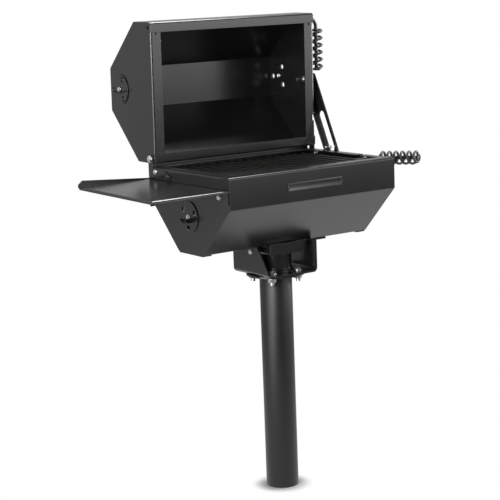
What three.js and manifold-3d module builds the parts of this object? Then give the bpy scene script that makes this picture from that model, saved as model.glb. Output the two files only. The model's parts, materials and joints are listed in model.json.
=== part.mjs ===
// A covered park grill on a swivelling pedestal: a post, a cradle that turns on it, a folded-sheet
// firebox and lid, and a side shelf. Millimetres, +Z up. The origin is on the post's axis at ground
// level, +X runs along the firebox to its handle side, and the front faces -Y. The lid stands open.
import * as THREE from "three";
import { mergeVertices } from "three/addons/utils/BufferGeometryUtils.js";
import Module from "manifold-3d";

const wasm = await Module();
wasm.setup();

// Driving sizes: fits and overruns
const seatGap = 0.3; // between pieces that are welded or bolted face to face
const runClearance = 0.5; // between pieces that slide or turn on each other
const cutOver = 10; // how far a cutting tool runs past what it cuts

// Driving sizes: post and swivel
const postDiameter = 88.9;
const postWall = 4;
const postHeight = 594;
const stubLength = 110;
const hubWall = 8;
const hubHeight = 55;
const discDiameter = 160;
const discThickness = 6;
const flangeBoltRadius = 62; // of the circle that the four bolts stand on

// Driving sizes: cradle
const cradleWidth = 160;
const cradleDepth = 166;
const cradleHeight = 86.1;
const cradlePlate = 5;
const cradleBend = 12;
const cradleLip = 13;
const cradleFlange = 52;
const cradleTaper = 52; // how far the slanted edge leans back over the upright's height
const cradleTaperStart = 6;
const cradleBoltDrop = 21; // of the uprights' bolts below the cradle's top

// Driving sizes: firebox and lid, one folded form used twice
const boxLength = 542;
const boxDepth = 375;
const boxFlat = 115;
const boxHeight = 214;
const boxWall = 83;
const sheet = 3;
const foldRadius = 6;
const rimWidth = 30;
const lidMouthSide = 27;
const lidMouthEnd = 32;
const lidGap = 2;
const cornerHoleDiameter = 6; // in the lid's end flanges, beside the long flanges
const cornerHoleEdge = 0.3; // of metal left between the hole and the flange's end
const cornerHoleInset = 16.7; // of its centre inside the end's outer face
const spareHoleDiameter = 10; // in the lid's left end, near its front corner
const spareHoleInset = 14.8; // behind the lid's front
const spareHoleRise = 12; // above the lid's mouth
const boxLapWidth = 28;
const ashHole = 90;

// Driving sizes: hinge, and how far the lid stands open
const hingeInset = 12.5;
const hingeRise = 21;
const lidOpenAngle = 89;
const hingePin = { shank: 12, across: 16, head: 5, nut: 5, tail: 2.5 };
const hingeLobe = 11;
const hingePlateLengthLeft = 102;
const hingePlateLengthRight = 66;
const hingeBoltRear = 35; // of the first bolt from the plate's rear edge
const hingeBoltFront = 9; // of the second bolt from the plate's front edge
const hingePlateHeight = 26;
const stopSheet = 3; // of the strip behind the rim, under the open lid
const stopDrop = 24; // of its lower edge below the rim

// Driving sizes: dampers
const damperDiameter = 83;
const damperSheet = 2.5;
const damperHoleDiameter = 15;
const damperHoleCircle = 30;
const damperHoles = 3;
const damperHoleTurn = 36; // degrees
const lidDamperHoleTurn = 86;
const damperShelfGap = 7.5; // of the disc's edge under the side shelf's flange
const lidDamperDrop = 51; // of its centre below the lid's top
const lidDamperForward = 3; // of its centre before the lid's middle
const damperTabLength = 32;
const damperTabWidth = 14;
const damperTabRise = 12; // of its far face from the disc's centre
const damperTabLean = 16; // degrees from square to the disc, towards the bolt

// Driving sizes: cooking grate, charcoal grate and their holders
const barDiameter = 12.7;
const barCount = 15;
const barSideInset = 10.9; // of the outer bars from the cross bar's ends
const barEndGap = 1.5;
const grateDrop = 8; // of the bars' tops below the rim
const crossBarHeight = 22;
const crossBarWidth = 6;
const crossBarInset = 36; // of the front cross bar behind the bars' front ends
const pivotRodInset = 44; // of the pivot rod before the bars' rear ends
const weldSink = 1.5; // how far crossing bars melt into each other
const pivotBushWall = 3;
const pivotBushLength = 12;
const restLength = 40;
const restDrop = 20;
const restWidth = 24;
const restPlate = 3;
const coalBarDiameter = 9.5;
const coalBarCount = 15;
const coalEndInset = 27.5; // of the flats' ends from the end panels
const coalGrateRise = 60;
const coalFlatHeight = 16;
const coalFlatWidth = 5;
const coalFlatSpread = 120;

// Driving sizes: coil handles
const rodDiameter = 10.5;
const rodBend = 22;
const wireDiameter = 7;
const coilDiameter = 39;
const coilTurns = 5.5;
const lidCoilLength = 118;
const grateCoilLength = 130;
const handleStandoff = 29; // of the coils' axes outside the end panel
const lidHandleInset = 17.5; // of the lid rod's foot behind the lid's front
const lidHandleRise = 26; // above the lid's mouth
const lidCoilStart = 29; // along the rod past its foot
const grateHandleFront = 118.5; // of the rod behind the firebox's front
const grateHandleSplay = 12; // degrees outward
const grateHandleLift = 3.5; // degrees upward
const rodSlotWidth = 16;

// Driving sizes: support arm
const armPlate = 4;
const armWidth = 46;
const armSlotWidth = 24;
const armSlotEnd = 13; // past the slide pin when the lid is open
const armFoot = 14; // of plate past the slot
const armHead = 10; // of plate past the pivot
const armStandoff = 20; // of its inner face outside the end panel
const armPivotInset = 187.5; // of the pivot behind the lid's front, lid closed
const armPivotRise = 44; // above the lid's mouth
const armBoltDiameter = 10;
const armBoltInside = 25.4;
const armSpacerDiameter = 20;
const armBoltHeadCorners = 20;
const armNutCorners = 18;
const slidePinDiameter = 9;
const slidePinInset = 80.5; // in front of the firebox's back
const slidePinRise = 5; // above the rim
const slidePinHead = 4;
const pinEarPlate = 4;
const pinEarWidth = 16;
const pinEarDrop = 40;
const pinNotchWidth = 18;
const pinNotchHeight = 11;

// Driving sizes: ash drawer and its rails
const drawerWidth = 113;
const drawerSheet = 2;
const drawerFrontWidth = 120;
const drawerFrontHeight = 32;
const drawerFrontRise = 3.5; // of the front plate's top above the box's bottom
const drawerFrontForward = 6.5; // of the front plate before the flat bottom's front edge
const drawerDepth = 122;
const drawerDrop = 20.7; // of its floor below the box's bottom
const drawerHeight = 17;
const drawerNotchWidth = 54;
const drawerNotchDepth = 2;
const railSheet = 2.5;
const railLip = 10;
const railFlange = 14;

// Driving sizes: side shelf
const shelfSheet = 3;
const shelfDrop = 32; // of its top below the rim
const shelfReachRear = 217;
const shelfReachFront = 231;
const shelfFrontLipNear = 4.7;
const shelfFrontLipFar = 12;
const shelfRearLipNear = 1.5;
const shelfRearLipFar = 16;
const shelfRearLipClip = 10;
const shelfOuterLip = 8;
const shelfWallFlange = 36;
const shelfBoltDrop = 20; // below the shelf's top
const shelfBoltInset = 42; // from the shelf's front and rear edges

// Driving sizes: name plate and fasteners
const namePlateWidth = 177;
const namePlateHeight = 22;
const namePlateThickness = 1.6;
const namePlateDrop = 33;
const bigBolt = { shank: 12, across: 19, head: 7.5, nut: 11.5, tail: 8 };
const smallBolt = { shank: 6, across: 11, head: 4, nut: 5, tail: 2.5 };

// Materials
const paint = { color: 0x2b2c2e, roughness: 0.42, metalness: 0.25 };
const barSteel = { color: 0x242425, roughness: 0.6, metalness: 0.5 };
const zinc = { color: 0xc8cbcf, roughness: 0.28, metalness: 1 };
const wirePaint = { color: 0x1b1b1c, roughness: 0.5, metalness: 0.3 };
const finishes = new Map();

function material(finish) {
  if (!finishes.has(finish)) finishes.set(finish, new THREE.MeshStandardMaterial(finish));
  return finishes.get(finish);
}

// Half-sizes and levels that the pieces share
const postRadius = postDiameter / 2;
const stubRadius = postRadius - postWall - runClearance;
const discRadius = discDiameter / 2;
const discBottom = postHeight + seatGap;
const discTop = discBottom + discThickness;
const hubTop = discTop + hubHeight;
const cradleBase = discTop + seatGap;
const cradleHalf = cradleWidth / 2;
const cradleFront = cradleDepth / 2;
const cradleTop = cradleBase + cradleHeight;
const boxBottom = cradleTop + seatGap;
const halfLength = boxLength / 2;
const halfDepth = boxDepth / 2;
const halfFlat = boxFlat / 2;
const foldLevel = boxBottom + boxHeight - boxWall;
const rimLevel = boxBottom + boxHeight;
const mouthLevel = rimLevel + lidGap;
const lidTop = mouthLevel + boxHeight;
const rimInner = halfDepth - rimWidth;
const innerLength = halfLength - sheet;
const slopeRun = (halfDepth - halfFlat) / (boxHeight - boxWall);
const slopeLength = Math.hypot(halfDepth - halfFlat, boxHeight - boxWall);
const slopeSheet = (sheet * slopeLength) / (boxHeight - boxWall); // wall thickness along Y on a slope
const hingeY = halfDepth - hingeInset;
const hingeZ = rimLevel + hingeRise;
const openTurn = THREE.MathUtils.degToRad(lidOpenAngle);
const roundSegments = 32;
const holeSegments = 20;
const boltSegments = 12;
const foldSteps = 3;

// Turns a closed three.js geometry into a solid that can be joined and cut.
function solid(geometry) {
  const bare = geometry.index ? geometry.toNonIndexed() : geometry.clone();
  for (const name of Object.keys(bare.attributes)) {
    if (name !== "position") bare.deleteAttribute(name);
  }
  const merged = mergeVertices(bare, 1e-4);
  const vertProperties = new Float32Array(merged.attributes.position.array);
  const triVerts = new Uint32Array(merged.index.array);
  return new wasm.Manifold(new wasm.Mesh({ numProp: 3, vertProperties, triVerts }));
}

// Turns a solid back into a geometry with flat faces.
function geometryOf(shape) {
  const made = shape.getMesh();
  const positions = new Float32Array((made.vertProperties.length / made.numProp) * 3);
  for (let i = 0; i * made.numProp < made.vertProperties.length; i += 1) {
    for (let k = 0; k < 3; k += 1) positions[3 * i + k] = made.vertProperties[i * made.numProp + k];
  }
  const geometry = new THREE.BufferGeometry();
  geometry.setAttribute("position", new THREE.BufferAttribute(positions, 3));
  geometry.setIndex(new THREE.BufferAttribute(new Uint32Array(made.triVerts), 1));
  const flat = geometry.toNonIndexed();
  flat.computeVertexNormals();
  return flat;
}

// Adds one named piece to a group.
function piece(group, name, shape, finish) {
  const mesh = new THREE.Mesh(geometryOf(shape), material(finish));
  mesh.name = name;
  group.add(mesh);
  return mesh;
}

function box(low, high) {
  const size = high.map((value, axis) => value - low[axis]);
  const middle = high.map((value, axis) => (value + low[axis]) / 2);
  return solid(new THREE.BoxGeometry(...size).translate(...middle));
}

function joined(shapes) {
  return shapes.reduce((whole, next) => whole.add(next));
}

function cutAll(shape, tools) {
  return tools.reduce((left, tool) => left.subtract(tool), shape);
}

function outline(points) {
  return new THREE.Shape(points.map(([across, up]) => new THREE.Vector2(across, up)));
}

// An outline in the YZ plane, extruded along X from one place to another.
function alongX(points, from, to) {
  const geometry = new THREE.ExtrudeGeometry(outline(points), { depth: to - from, bevelEnabled: false });
  const turn = new THREE.Matrix4().makeBasis(
    new THREE.Vector3(0, 1, 0),
    new THREE.Vector3(0, 0, 1),
    new THREE.Vector3(1, 0, 0),
  );
  return solid(geometry.applyMatrix4(turn).translate(from, 0, 0));
}

// An outline in the XZ plane, extruded along Y from one place to another.
function alongY(points, from, to) {
  const geometry = new THREE.ExtrudeGeometry(outline(points), { depth: to - from, bevelEnabled: false });
  return solid(geometry.rotateX(Math.PI / 2).translate(0, to, 0));
}

// An outline in the XY plane, extruded upward.
function alongZ(points, from, to) {
  const geometry = new THREE.ExtrudeGeometry(outline(points), { depth: to - from, bevelEnabled: false });
  return solid(geometry.translate(0, 0, from));
}

// A round bar or hole along one axis: centre in the other two, in the order of the axes.
function rodAlong(axis, centre, from, to, diameter, segments = holeSegments) {
  const geometry = new THREE.CylinderGeometry(diameter / 2, diameter / 2, to - from, segments);
  const middle = (from + to) / 2;
  if (axis === "x") return solid(geometry.rotateZ(-Math.PI / 2).translate(middle, centre[0], centre[1]));
  if (axis === "y") return solid(geometry.translate(centre[0], middle, centre[1]));
  return solid(geometry.rotateX(Math.PI / 2).translate(centre[0], centre[1], middle));
}

// A profile of [radius, height] points turned about Z.
function turned(profile, segments = roundSegments) {
  const points = profile.map(([radius, height]) => new THREE.Vector2(radius, height));
  return solid(new THREE.LatheGeometry(points, segments).rotateX(Math.PI / 2));
}

// Replaces each inner corner of a path by an arc, as a press brake leaves it.
function withArcs(points, radius, closed) {
  const result = [];
  const count = points.length;
  points.forEach((corner, index) => {
    if (!closed && (index === 0 || index === count - 1)) {
      result.push(corner);
      return;
    }
    const at = new THREE.Vector2(...corner);
    const before = new THREE.Vector2(...points[(index + count - 1) % count]).sub(at).normalize();
    const after = new THREE.Vector2(...points[(index + 1) % count]).sub(at).normalize();
    const half = Math.acos(THREE.MathUtils.clamp(before.dot(after), -1, 1)) / 2;
    const middle = before.clone().add(after).normalize();
    const centre = at.clone().addScaledVector(middle, radius / Math.sin(half));
    const start = at.clone().addScaledVector(before, radius / Math.tan(half)).sub(centre);
    const sweep = (Math.PI - 2 * half) * Math.sign(before.clone().negate().cross(after));
    for (let step = 0; step <= foldSteps; step += 1) {
      const turn = (sweep * step) / foldSteps;
      const point = start.clone().rotateAround(new THREE.Vector2(0, 0), turn).add(centre);
      result.push([point.x, point.y]);
    }
  });
  return result;
}

// Moves an open path sideways, to its left, by the sheet's thickness.
function besidePath(points, distance) {
  return points.map((corner, index) => {
    const at = new THREE.Vector2(...corner);
    const sides = [];
    if (index > 0) sides.push(at.clone().sub(new THREE.Vector2(...points[index - 1])).normalize());
    if (index < points.length - 1) {
      sides.push(new THREE.Vector2(...points[index + 1]).sub(at).normalize());
    }
    const normals = sides.map((side) => new THREE.Vector2(-side.y, side.x));
    const mean = normals.reduce((sum, next) => sum.clone().add(next)).normalize();
    const moved = at.clone().addScaledVector(mean, distance / mean.dot(normals[0]));
    return [moved.x, moved.y];
  });
}

// The closed outline of a folded sheet whose outer face follows the path, with the sheet to its left.
function foldedSheet(points, thickness, radius) {
  const outer = withArcs(points, radius, false);
  const inner = withArcs(besidePath(points, thickness), radius - thickness, false);
  return outer.concat(inner.reverse());
}

// A hexagon-headed bolt along +Z with its head's underside at zero, its shank going down, and a nut.
function boltShape(size, grip) {
  const headRadius = size.across / Math.sqrt(3);
  const head = solid(
    new THREE.CylinderGeometry(headRadius, headRadius, size.head, 6)
      .rotateX(Math.PI / 2)
      .translate(0, 0, size.head / 2),
  );
  const end = grip + size.nut + size.tail;
  const shank = rodAlong("z", [0, 0], -end, size.head / 2, size.shank, boltSegments);
  const nut = solid(
    new THREE.CylinderGeometry(headRadius, headRadius, size.nut, 6)
      .rotateX(Math.PI / 2)
      .translate(0, 0, -grip - size.nut / 2),
  );
  return joined([head, shank, nut]);
}

// Places a piece made along +Z so that it points out of an end panel.
function facing(mesh, side, x, y, z) {
  mesh.rotation.y = (side * Math.PI) / 2;
  mesh.position.set(x, y, z);
}

const grill = new THREE.Group();
const head = new THREE.Group();
grill.add(head);

// The post: a round tube, cast into the ground at its foot
piece(
  grill,
  "post",
  turned([
    [postRadius - postWall, 0],
    [postRadius, 0],
    [postRadius, postHeight],
    [postRadius - postWall, postHeight],
    [postRadius - postWall, 0],
  ]),
  paint,
);

// The swivel: one turned piece with a stub in the post, a disc on the post's top and a hub above it
const hubInner = stubRadius - hubWall;
const flangeAngles = [45, 135, 225, 315];
const boltHoleDiameter = bigBolt.shank + 2 * runClearance;

function boltCircleTools(from, to) {
  return flangeAngles.map((angle) => {
    const turn = THREE.MathUtils.degToRad(angle);
    const centre = [flangeBoltRadius * Math.cos(turn), flangeBoltRadius * Math.sin(turn)];
    return rodAlong("z", centre, from, to, boltHoleDiameter, boltSegments);
  });
}

const swivel = turned([
  [hubInner, postHeight - stubLength],
  [stubRadius, postHeight - stubLength],
  [stubRadius, discBottom],
  [discRadius, discBottom],
  [discRadius, discTop],
  [postRadius, discTop],
  [postRadius, hubTop],
  [hubInner, hubTop],
  [hubInner, postHeight - stubLength],
]);
piece(
  head,
  "swivel_flange",
  cutAll(swivel, boltCircleTools(discBottom - cutOver, discTop + cutOver)),
  paint,
);

// The cradle: a plate bent to a U, its uprights slanted on opposite corners, with top flanges
const cradleBaseTop = cradleBase + cradlePlate;
const uProfile = foldedSheet(
  [
    [-cradleHalf, cradleTop],
    [-cradleHalf, cradleBase],
    [cradleHalf, cradleBase],
    [cradleHalf, cradleTop],
  ],
  cradlePlate,
  cradleBend,
);
const bentPlate = alongY(uProfile, -cradleFront, cradleFront);
const slant = (side) => {
  const points = [
    [-side * (cradleFront + cutOver), cradleBaseTop - cutOver],
    [-side * (cradleFront - cradleTaperStart), cradleBaseTop],
    [-side * (cradleFront - cradleTaperStart - cradleTaper), cradleTop + seatGap],
    [-side * (cradleFront - cradleTaperStart - cradleTaper), cradleTop + cutOver],
    [-side * (cradleFront + cutOver), cradleTop + cutOver],
  ];
  return side > 0 ? points : points.reverse();
};
const cradleInner = cradleHalf - cradlePlate;
const leftSlant = alongX(slant(1), -cradleHalf - cutOver, -cradleInner + cradleBend);
const rightSlant = alongX(slant(-1), cradleInner - cradleBend, cradleHalf + cutOver);
const lipFoot = cradleBaseTop + cradleBend;
const flangeShort = cradleFront - cradleTaperStart - cradleTaper;
const cradleParts = [-1, 1].flatMap((side) => {
  const reach = [side * cradleHalf, side * (cradleHalf - cradleLip)].sort((a, b) => a - b);
  const edge = [-side * cradleFront, -side * (cradleFront - cradlePlate)].sort((a, b) => a - b);
  const flat = [side * cradleInner, side * (cradleHalf + cradleFlange)].sort((a, b) => a - b);
  const depth = [-side * (halfFlat - seatGap), side * flangeShort].sort((a, b) => a - b);
  return [
    box([reach[0], edge[0], lipFoot], [reach[1], edge[1], cradleTop]),
    box([flat[0], depth[0], cradleTop - cradlePlate], [flat[1], depth[1], cradleTop]),
  ];
});
const uprightBoltZ = cradleTop - cradleBoltDrop;
const cradle = cutAll(joined([cutAll(bentPlate, [leftSlant, rightSlant]), ...cradleParts]), [
  rodAlong("z", [0, 0], cradleBase - cutOver, cradleBaseTop + cutOver, postDiameter + 2 * seatGap, roundSegments),
  ...boltCircleTools(cradleBase - cutOver, cradleBaseTop + cutOver),
  rodAlong(
    "x",
    [0, uprightBoltZ],
    -cradleHalf - cutOver,
    cradleHalf + cutOver,
    smallBolt.shank + 2 * runClearance,
    boltSegments,
  ),
]);
piece(head, "cradle", cradle, paint);

// Four bolts hold the cradle down on the swivel's disc
flangeAngles.forEach((angle, index) => {
  const turn = THREE.MathUtils.degToRad(angle);
  const grip = cradlePlate + discThickness + 3 * seatGap;
  const mesh = piece(head, `flange_bolt_${index + 1}`, boltShape(bigBolt, grip), zinc);
  mesh.position.set(
    flangeBoltRadius * Math.cos(turn),
    flangeBoltRadius * Math.sin(turn),
    cradleBaseTop + seatGap,
  );
});

// One bolt through each upright
for (const [name, side] of [
  ["left", -1],
  ["right", 1],
]) {
  const mesh = piece(head, `cradle_bolt_${name}`, boltShape(smallBolt, cradlePlate + 2 * seatGap), zinc);
  facing(mesh, side, side * (cradleHalf + seatGap), 0, uprightBoltZ);
}

// The folded form's outer path, from mouth to mouth, for the firebox and, upside down, for the lid
const boxPath = [
  [-halfDepth, rimLevel],
  [-halfDepth, foldLevel],
  [-halfFlat, boxBottom],
  [halfFlat, boxBottom],
  [halfDepth, foldLevel],
  [halfDepth, rimLevel],
];
const lidPath = boxPath.map(([across, up]) => [-across, mouthLevel + rimLevel - up]);

// A folded shell with a mouth flange of the given width along both long sides
function foldedShell(path, mouth) {
  const inward = Math.sign(path[0][0]) * (halfDepth - mouth);
  const whole = [[inward, path[0][1]], ...path, [-inward, path[0][1]]];
  return alongX(foldedSheet(whole, sheet, foldRadius), seatGap - innerLength, innerLength - seatGap);
}

// An end panel whose mouth flange is bent inward, between the shell's own flanges
function endPanel(path, side, sideMouth, endMouth) {
  const level = path[0][1];
  const inside = Math.sign(path[1][1] - level);
  const xs = [side * innerLength, side * halfLength].sort((a, b) => a - b);
  const reach = halfDepth - sideMouth - seatGap;
  const corner = [level, level + inside * foldRadius].sort((a, b) => a - b);
  const bend = [
    [side * (halfLength - endMouth), level],
    [side * halfLength, level],
    [side * halfLength, level + inside * endMouth],
  ];
  if (side * inside < 0) bend.reverse(); // keeps the sheet on the bend's inner side
  const plate = alongX(withArcs(path, foldRadius, true), ...xs);
  return plate
    .subtract(box([xs[0], -reach, corner[0]], [xs[1], reach, corner[1]]))
    .add(alongY(foldedSheet(bend, sheet, foldRadius), -reach, reach));
}

// The vents behind a damper disc, and the hole for its bolt
function ventTools(centreY, centreZ, side, holeTurn) {
  const xs = throughPanel(side);
  const bolt = smallBolt.shank + 2 * runClearance;
  const vents = [rodAlong("x", [centreY, centreZ], ...xs, bolt, boltSegments)];
  for (let index = 0; index < damperHoles; index += 1) {
    const turn = THREE.MathUtils.degToRad(holeTurn + (360 * index) / damperHoles);
    const centre = [
      centreY + damperHoleCircle * Math.cos(turn),
      centreZ + damperHoleCircle * Math.sin(turn),
    ];
    vents.push(rodAlong("x", centre, ...xs, damperHoleDiameter));
  }
  return vents;
}

// From inside an end panel to outside it, as a cutting tool runs
function throughPanel(side) {
  return [side * (innerLength - cutOver), side * (halfLength + cutOver)].sort((a, b) => a - b);
}

// The firebox: one folded shell with an ash hole, and two end panels
const fireboxShell = foldedShell(boxPath, rimWidth).subtract(
  box([-ashHole / 2, -ashHole / 2, boxBottom - cutOver], [ashHole / 2, ashHole / 2, boxBottom + cutOver]),
);
piece(head, "firebox_shell", fireboxShell, paint);

const barLevel = rimLevel - grateDrop - barDiameter / 2;
const grateHandleY = -halfDepth + grateHandleFront;
const shelfTop = rimLevel - shelfDrop;
const damperZ = shelfTop - shelfWallFlange - damperShelfGap - damperDiameter / 2;

function fireboxEnd(side) {
  const panel = endPanel(boxPath, side, rimWidth, rimWidth);
  const lap = [side * (halfLength - boxLapWidth), side * halfLength].sort((a, b) => a - b);
  const lapTop = boxBottom - seatGap;
  const xs = [side * innerLength, side * halfLength].sort((a, b) => a - b);
  const lapped = joined([
    panel,
    box([lap[0], -halfFlat + sheet, lapTop - sheet], [lap[1], halfFlat - sheet, lapTop]),
    box([xs[0], -halfFlat + sheet, lapTop - sheet], [xs[1], halfFlat - sheet, boxBottom + sheet]),
  ]);
  return cutAll(lapped, ventTools(0, damperZ, side, damperHoleTurn));
}

piece(head, "firebox_end_left", fireboxEnd(-1), paint);
const slotHalf = rodSlotWidth / 2;
const rodSlot = box(
  [halfLength - rimWidth - cutOver, grateHandleY - slotHalf, barLevel - slotHalf],
  [halfLength + cutOver, grateHandleY + slotHalf, rimLevel + cutOver],
);
piece(head, "firebox_end_right", fireboxEnd(1).subtract(rodSlot), paint);

// The name plate: a bare plate riveted to the front wall
piece(
  head,
  "name_plate",
  box(
    [-namePlateWidth / 2, -halfDepth - seatGap - namePlateThickness, rimLevel - namePlateDrop - namePlateHeight],
    [namePlateWidth / 2, -halfDepth - seatGap, rimLevel - namePlateDrop],
  ),
  paint,
);

// The drawer's rails: sheet folded to a Z, hung under the firebox's flat bottom
const railInner = drawerWidth / 2 + runClearance;
const railOuter = railInner + railSheet;
const railTop = boxBottom - seatGap;
const drawerFloor = boxBottom - drawerDrop;
const railLipTop = drawerFloor - seatGap;
const drawerFront = -halfFlat - drawerFrontForward;
const railFront = drawerFront + drawerSheet + runClearance;
const railBack = drawerFront + drawerSheet + drawerDepth;
for (const [name, side] of [
  ["left", -1],
  ["right", 1],
]) {
  const span = (a, b) => [side * a, side * b].sort((low, high) => low - high);
  const web = span(railInner, railOuter);
  const flange = span(railInner, railOuter + railFlange);
  const lip = span(railInner - railLip, railOuter);
  piece(
    head,
    `drawer_rail_${name}`,
    joined([
      box([flange[0], -halfFlat, railTop - railSheet], [flange[1], halfFlat, railTop]),
      box([web[0], railFront, railLipTop - railSheet], [web[1], railBack, railTop - railSheet / 2]),
      box([lip[0], railFront, railLipTop - railSheet], [lip[1], railBack, railLipTop]),
    ]),
    paint,
  );
}

// The ash drawer: an open tray with a taller front plate that has a finger notch
const trayHalf = drawerWidth / 2;
const trayBack = railBack;
const trayTop = drawerFloor + drawerHeight;
const plateTop = boxBottom + drawerFrontRise;
const tray = box([-trayHalf, drawerFront, drawerFloor], [trayHalf, trayBack, trayTop]).subtract(
  box(
    [-trayHalf + drawerSheet, drawerFront + drawerSheet, drawerFloor + drawerSheet],
    [trayHalf - drawerSheet, trayBack - drawerSheet, trayTop + cutOver],
  ),
);
const frontPlate = box(
  [-drawerFrontWidth / 2, drawerFront, plateTop - drawerFrontHeight],
  [drawerFrontWidth / 2, drawerFront + drawerSheet, plateTop],
);
const notch = box(
  [-drawerNotchWidth / 2, drawerFront - cutOver, plateTop - drawerNotchDepth],
  [drawerNotchWidth / 2, drawerFront + cutOver, plateTop + cutOver],
);
piece(head, "ash_drawer", tray.add(frontPlate).subtract(notch), paint);

// The charcoal grate: bars across two flats, their ends resting on the firebox's slopes
const coalLevel = boxBottom + coalGrateRise;
const coalHalf =
  halfFlat + slopeRun * (coalLevel - coalBarDiameter / 2 - boxBottom) - slopeSheet - seatGap;
const coalSpan = innerLength - coalEndInset;
const coalBarPitch = (2 * (coalSpan - coalBarDiameter)) / (coalBarCount - 1);
const coalBars = [];
for (let index = 0; index < coalBarCount; index += 1) {
  const x = (index - (coalBarCount - 1) / 2) * coalBarPitch;
  coalBars.push(rodAlong("y", [x, coalLevel], -coalHalf, coalHalf, coalBarDiameter, boltSegments));
}
for (const side of [-1, 1]) {
  const middle = (side * coalFlatSpread) / 2;
  coalBars.push(
    box(
      [-coalSpan, middle - coalFlatWidth / 2, coalLevel - coalFlatHeight],
      [coalSpan, middle + coalFlatWidth / 2, coalLevel],
    ),
  );
}
piece(head, "charcoal_grate", joined(coalBars), barSteel);

// The cooking grate: round bars from front to back, welded on a front cross bar and a rear pivot rod
const barHalf = rimInner - barEndGap;
const crossBarY = crossBarInset - barHalf;
const pivotRodY = barHalf - pivotRodInset;
const pivotRodZ = barLevel - barDiameter + weldSink;
const crossBarHalf = halfLength - rimWidth - barEndGap; // it lifts out between the mouth flanges
const lastBar = crossBarHalf - barSideInset - barDiameter / 2;
const barPitch = (2 * lastBar) / (barCount - 1);
const grateEnd = innerLength - 2 * runClearance;
const grateBars = [
  rodAlong("x", [pivotRodY, pivotRodZ], -grateEnd, grateEnd, barDiameter, boltSegments),
  box(
    [-crossBarHalf, crossBarY - crossBarWidth / 2, barLevel - crossBarHeight],
    [crossBarHalf, crossBarY + crossBarWidth / 2, barLevel],
  ),
];
for (let index = 0; index < barCount; index += 1) {
  const x = index * barPitch - lastBar;
  grateBars.push(rodAlong("y", [x, barLevel], -barHalf, barHalf, barDiameter, boltSegments));
}
piece(head, "cooking_grate", joined(grateBars), barSteel);

// What carries the grate inside each end panel: a bush for the pivot rod, and an angle for the front
for (const [name, side] of [
  ["left", -1],
  ["right", 1],
]) {
  const wall = innerLength - seatGap;
  const between = (from, to) => [side * from, side * to].sort((a, b) => a - b);
  const bush = between(wall - pivotBushLength, wall);
  const bore = between(wall - pivotBushLength - cutOver, wall + cutOver);
  const centre = [pivotRodY, pivotRodZ];
  piece(
    head,
    `grate_bush_${name}`,
    rodAlong("x", centre, ...bush, barDiameter + 2 * runClearance + 2 * pivotBushWall).subtract(
      rodAlong("x", centre, ...bore, barDiameter + 2 * runClearance),
    ),
    paint,
  );
  const restTop = barLevel - crossBarHeight - seatGap;
  const shelf = between(wall - restLength, wall);
  const leg = between(wall - restPlate, wall);
  const ys = [crossBarY - restWidth / 2, crossBarY + restWidth / 2];
  piece(
    head,
    `grate_rest_${name}`,
    joined([
      box([shelf[0], ys[0], restTop - restPlate], [shelf[1], ys[1], restTop]),
      box([leg[0], ys[0], restTop - restDrop], [leg[1], ys[1], restTop]),
    ]),
    paint,
  );
}

// A curve of straight stretches joined by arcs, as a bent rod runs
function bentRodPath(corners, radius) {
  const path = new THREE.CurvePath();
  let start = corners[0];
  for (let index = 1; index < corners.length - 1; index += 1) {
    const corner = corners[index];
    const before = corners[index - 1].clone().sub(corner).normalize();
    const after = corners[index + 1].clone().sub(corner).normalize();
    const half = Math.acos(THREE.MathUtils.clamp(before.dot(after), -1, 1)) / 2;
    const trim = radius / Math.tan(half);
    const arcStart = corner.clone().addScaledVector(before, trim);
    const arcEnd = corner.clone().addScaledVector(after, trim);
    path.add(new THREE.LineCurve3(start, arcStart));
    path.add(new THREE.QuadraticBezierCurve3(arcStart, corner, arcEnd));
    start = arcEnd;
  }
  path.add(new THREE.LineCurve3(start, corners[corners.length - 1]));
  return path;
}

// A closed tube along a list of points, each ring square to the path, ends capped
function tubeAlong(points, radius, sides) {
  const tangents = points.map((point, index) => {
    const ahead = points[Math.min(index + 1, points.length - 1)];
    const behind = points[Math.max(index - 1, 0)];
    return ahead.clone().sub(behind).normalize();
  });
  let normal = new THREE.Vector3(0, 0, 1).cross(tangents[0]);
  if (normal.lengthSq() < 0.01) normal = new THREE.Vector3(1, 0, 0).cross(tangents[0]);
  normal.normalize();
  const positions = [];
  points.forEach((point, index) => {
    normal.addScaledVector(tangents[index], -normal.dot(tangents[index])).normalize();
    const other = tangents[index].clone().cross(normal);
    for (let side = 0; side < sides; side += 1) {
      const turn = (2 * Math.PI * side) / sides;
      const offset = normal.clone().multiplyScalar(Math.cos(turn) * radius);
      offset.addScaledVector(other, Math.sin(turn) * radius);
      positions.push(...point.clone().add(offset).toArray());
    }
  });
  const faces = [];
  for (let ring = 0; ring < points.length - 1; ring += 1) {
    for (let side = 0; side < sides; side += 1) {
      const a = ring * sides + side;
      const b = ring * sides + ((side + 1) % sides);
      faces.push(a, b, b + sides, a, b + sides, a + sides);
    }
  }
  const last = (points.length - 1) * sides;
  for (let side = 1; side < sides - 1; side += 1) {
    faces.push(0, side + 1, side);
    faces.push(last, last + side, last + side + 1);
  }
  const geometry = new THREE.BufferGeometry();
  geometry.setAttribute("position", new THREE.Float32BufferAttribute(positions, 3));
  geometry.setIndex(faces);
  return solid(geometry);
}

const rodArcSteps = 6;

function rodShape(corners) {
  const path = bentRodPath(corners, rodBend);
  const points = [];
  for (const curve of path.curves) {
    const steps = curve.isLineCurve3 ? 1 : rodArcSteps;
    for (let step = 0; step < steps; step += 1) points.push(curve.getPoint(step / steps));
  }
  points.push(corners[corners.length - 1].clone());
  return tubeAlong(points, rodDiameter / 2, boltSegments);
}

const coilSteps = 8; // for each turn
const coilSides = 5;
const coilEndDipShare = 0.3; // of the bend, at its first point
const coilEndRunShare = 0.7;
const coilRadius = (coilDiameter - wireDiameter) / 2;

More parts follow.
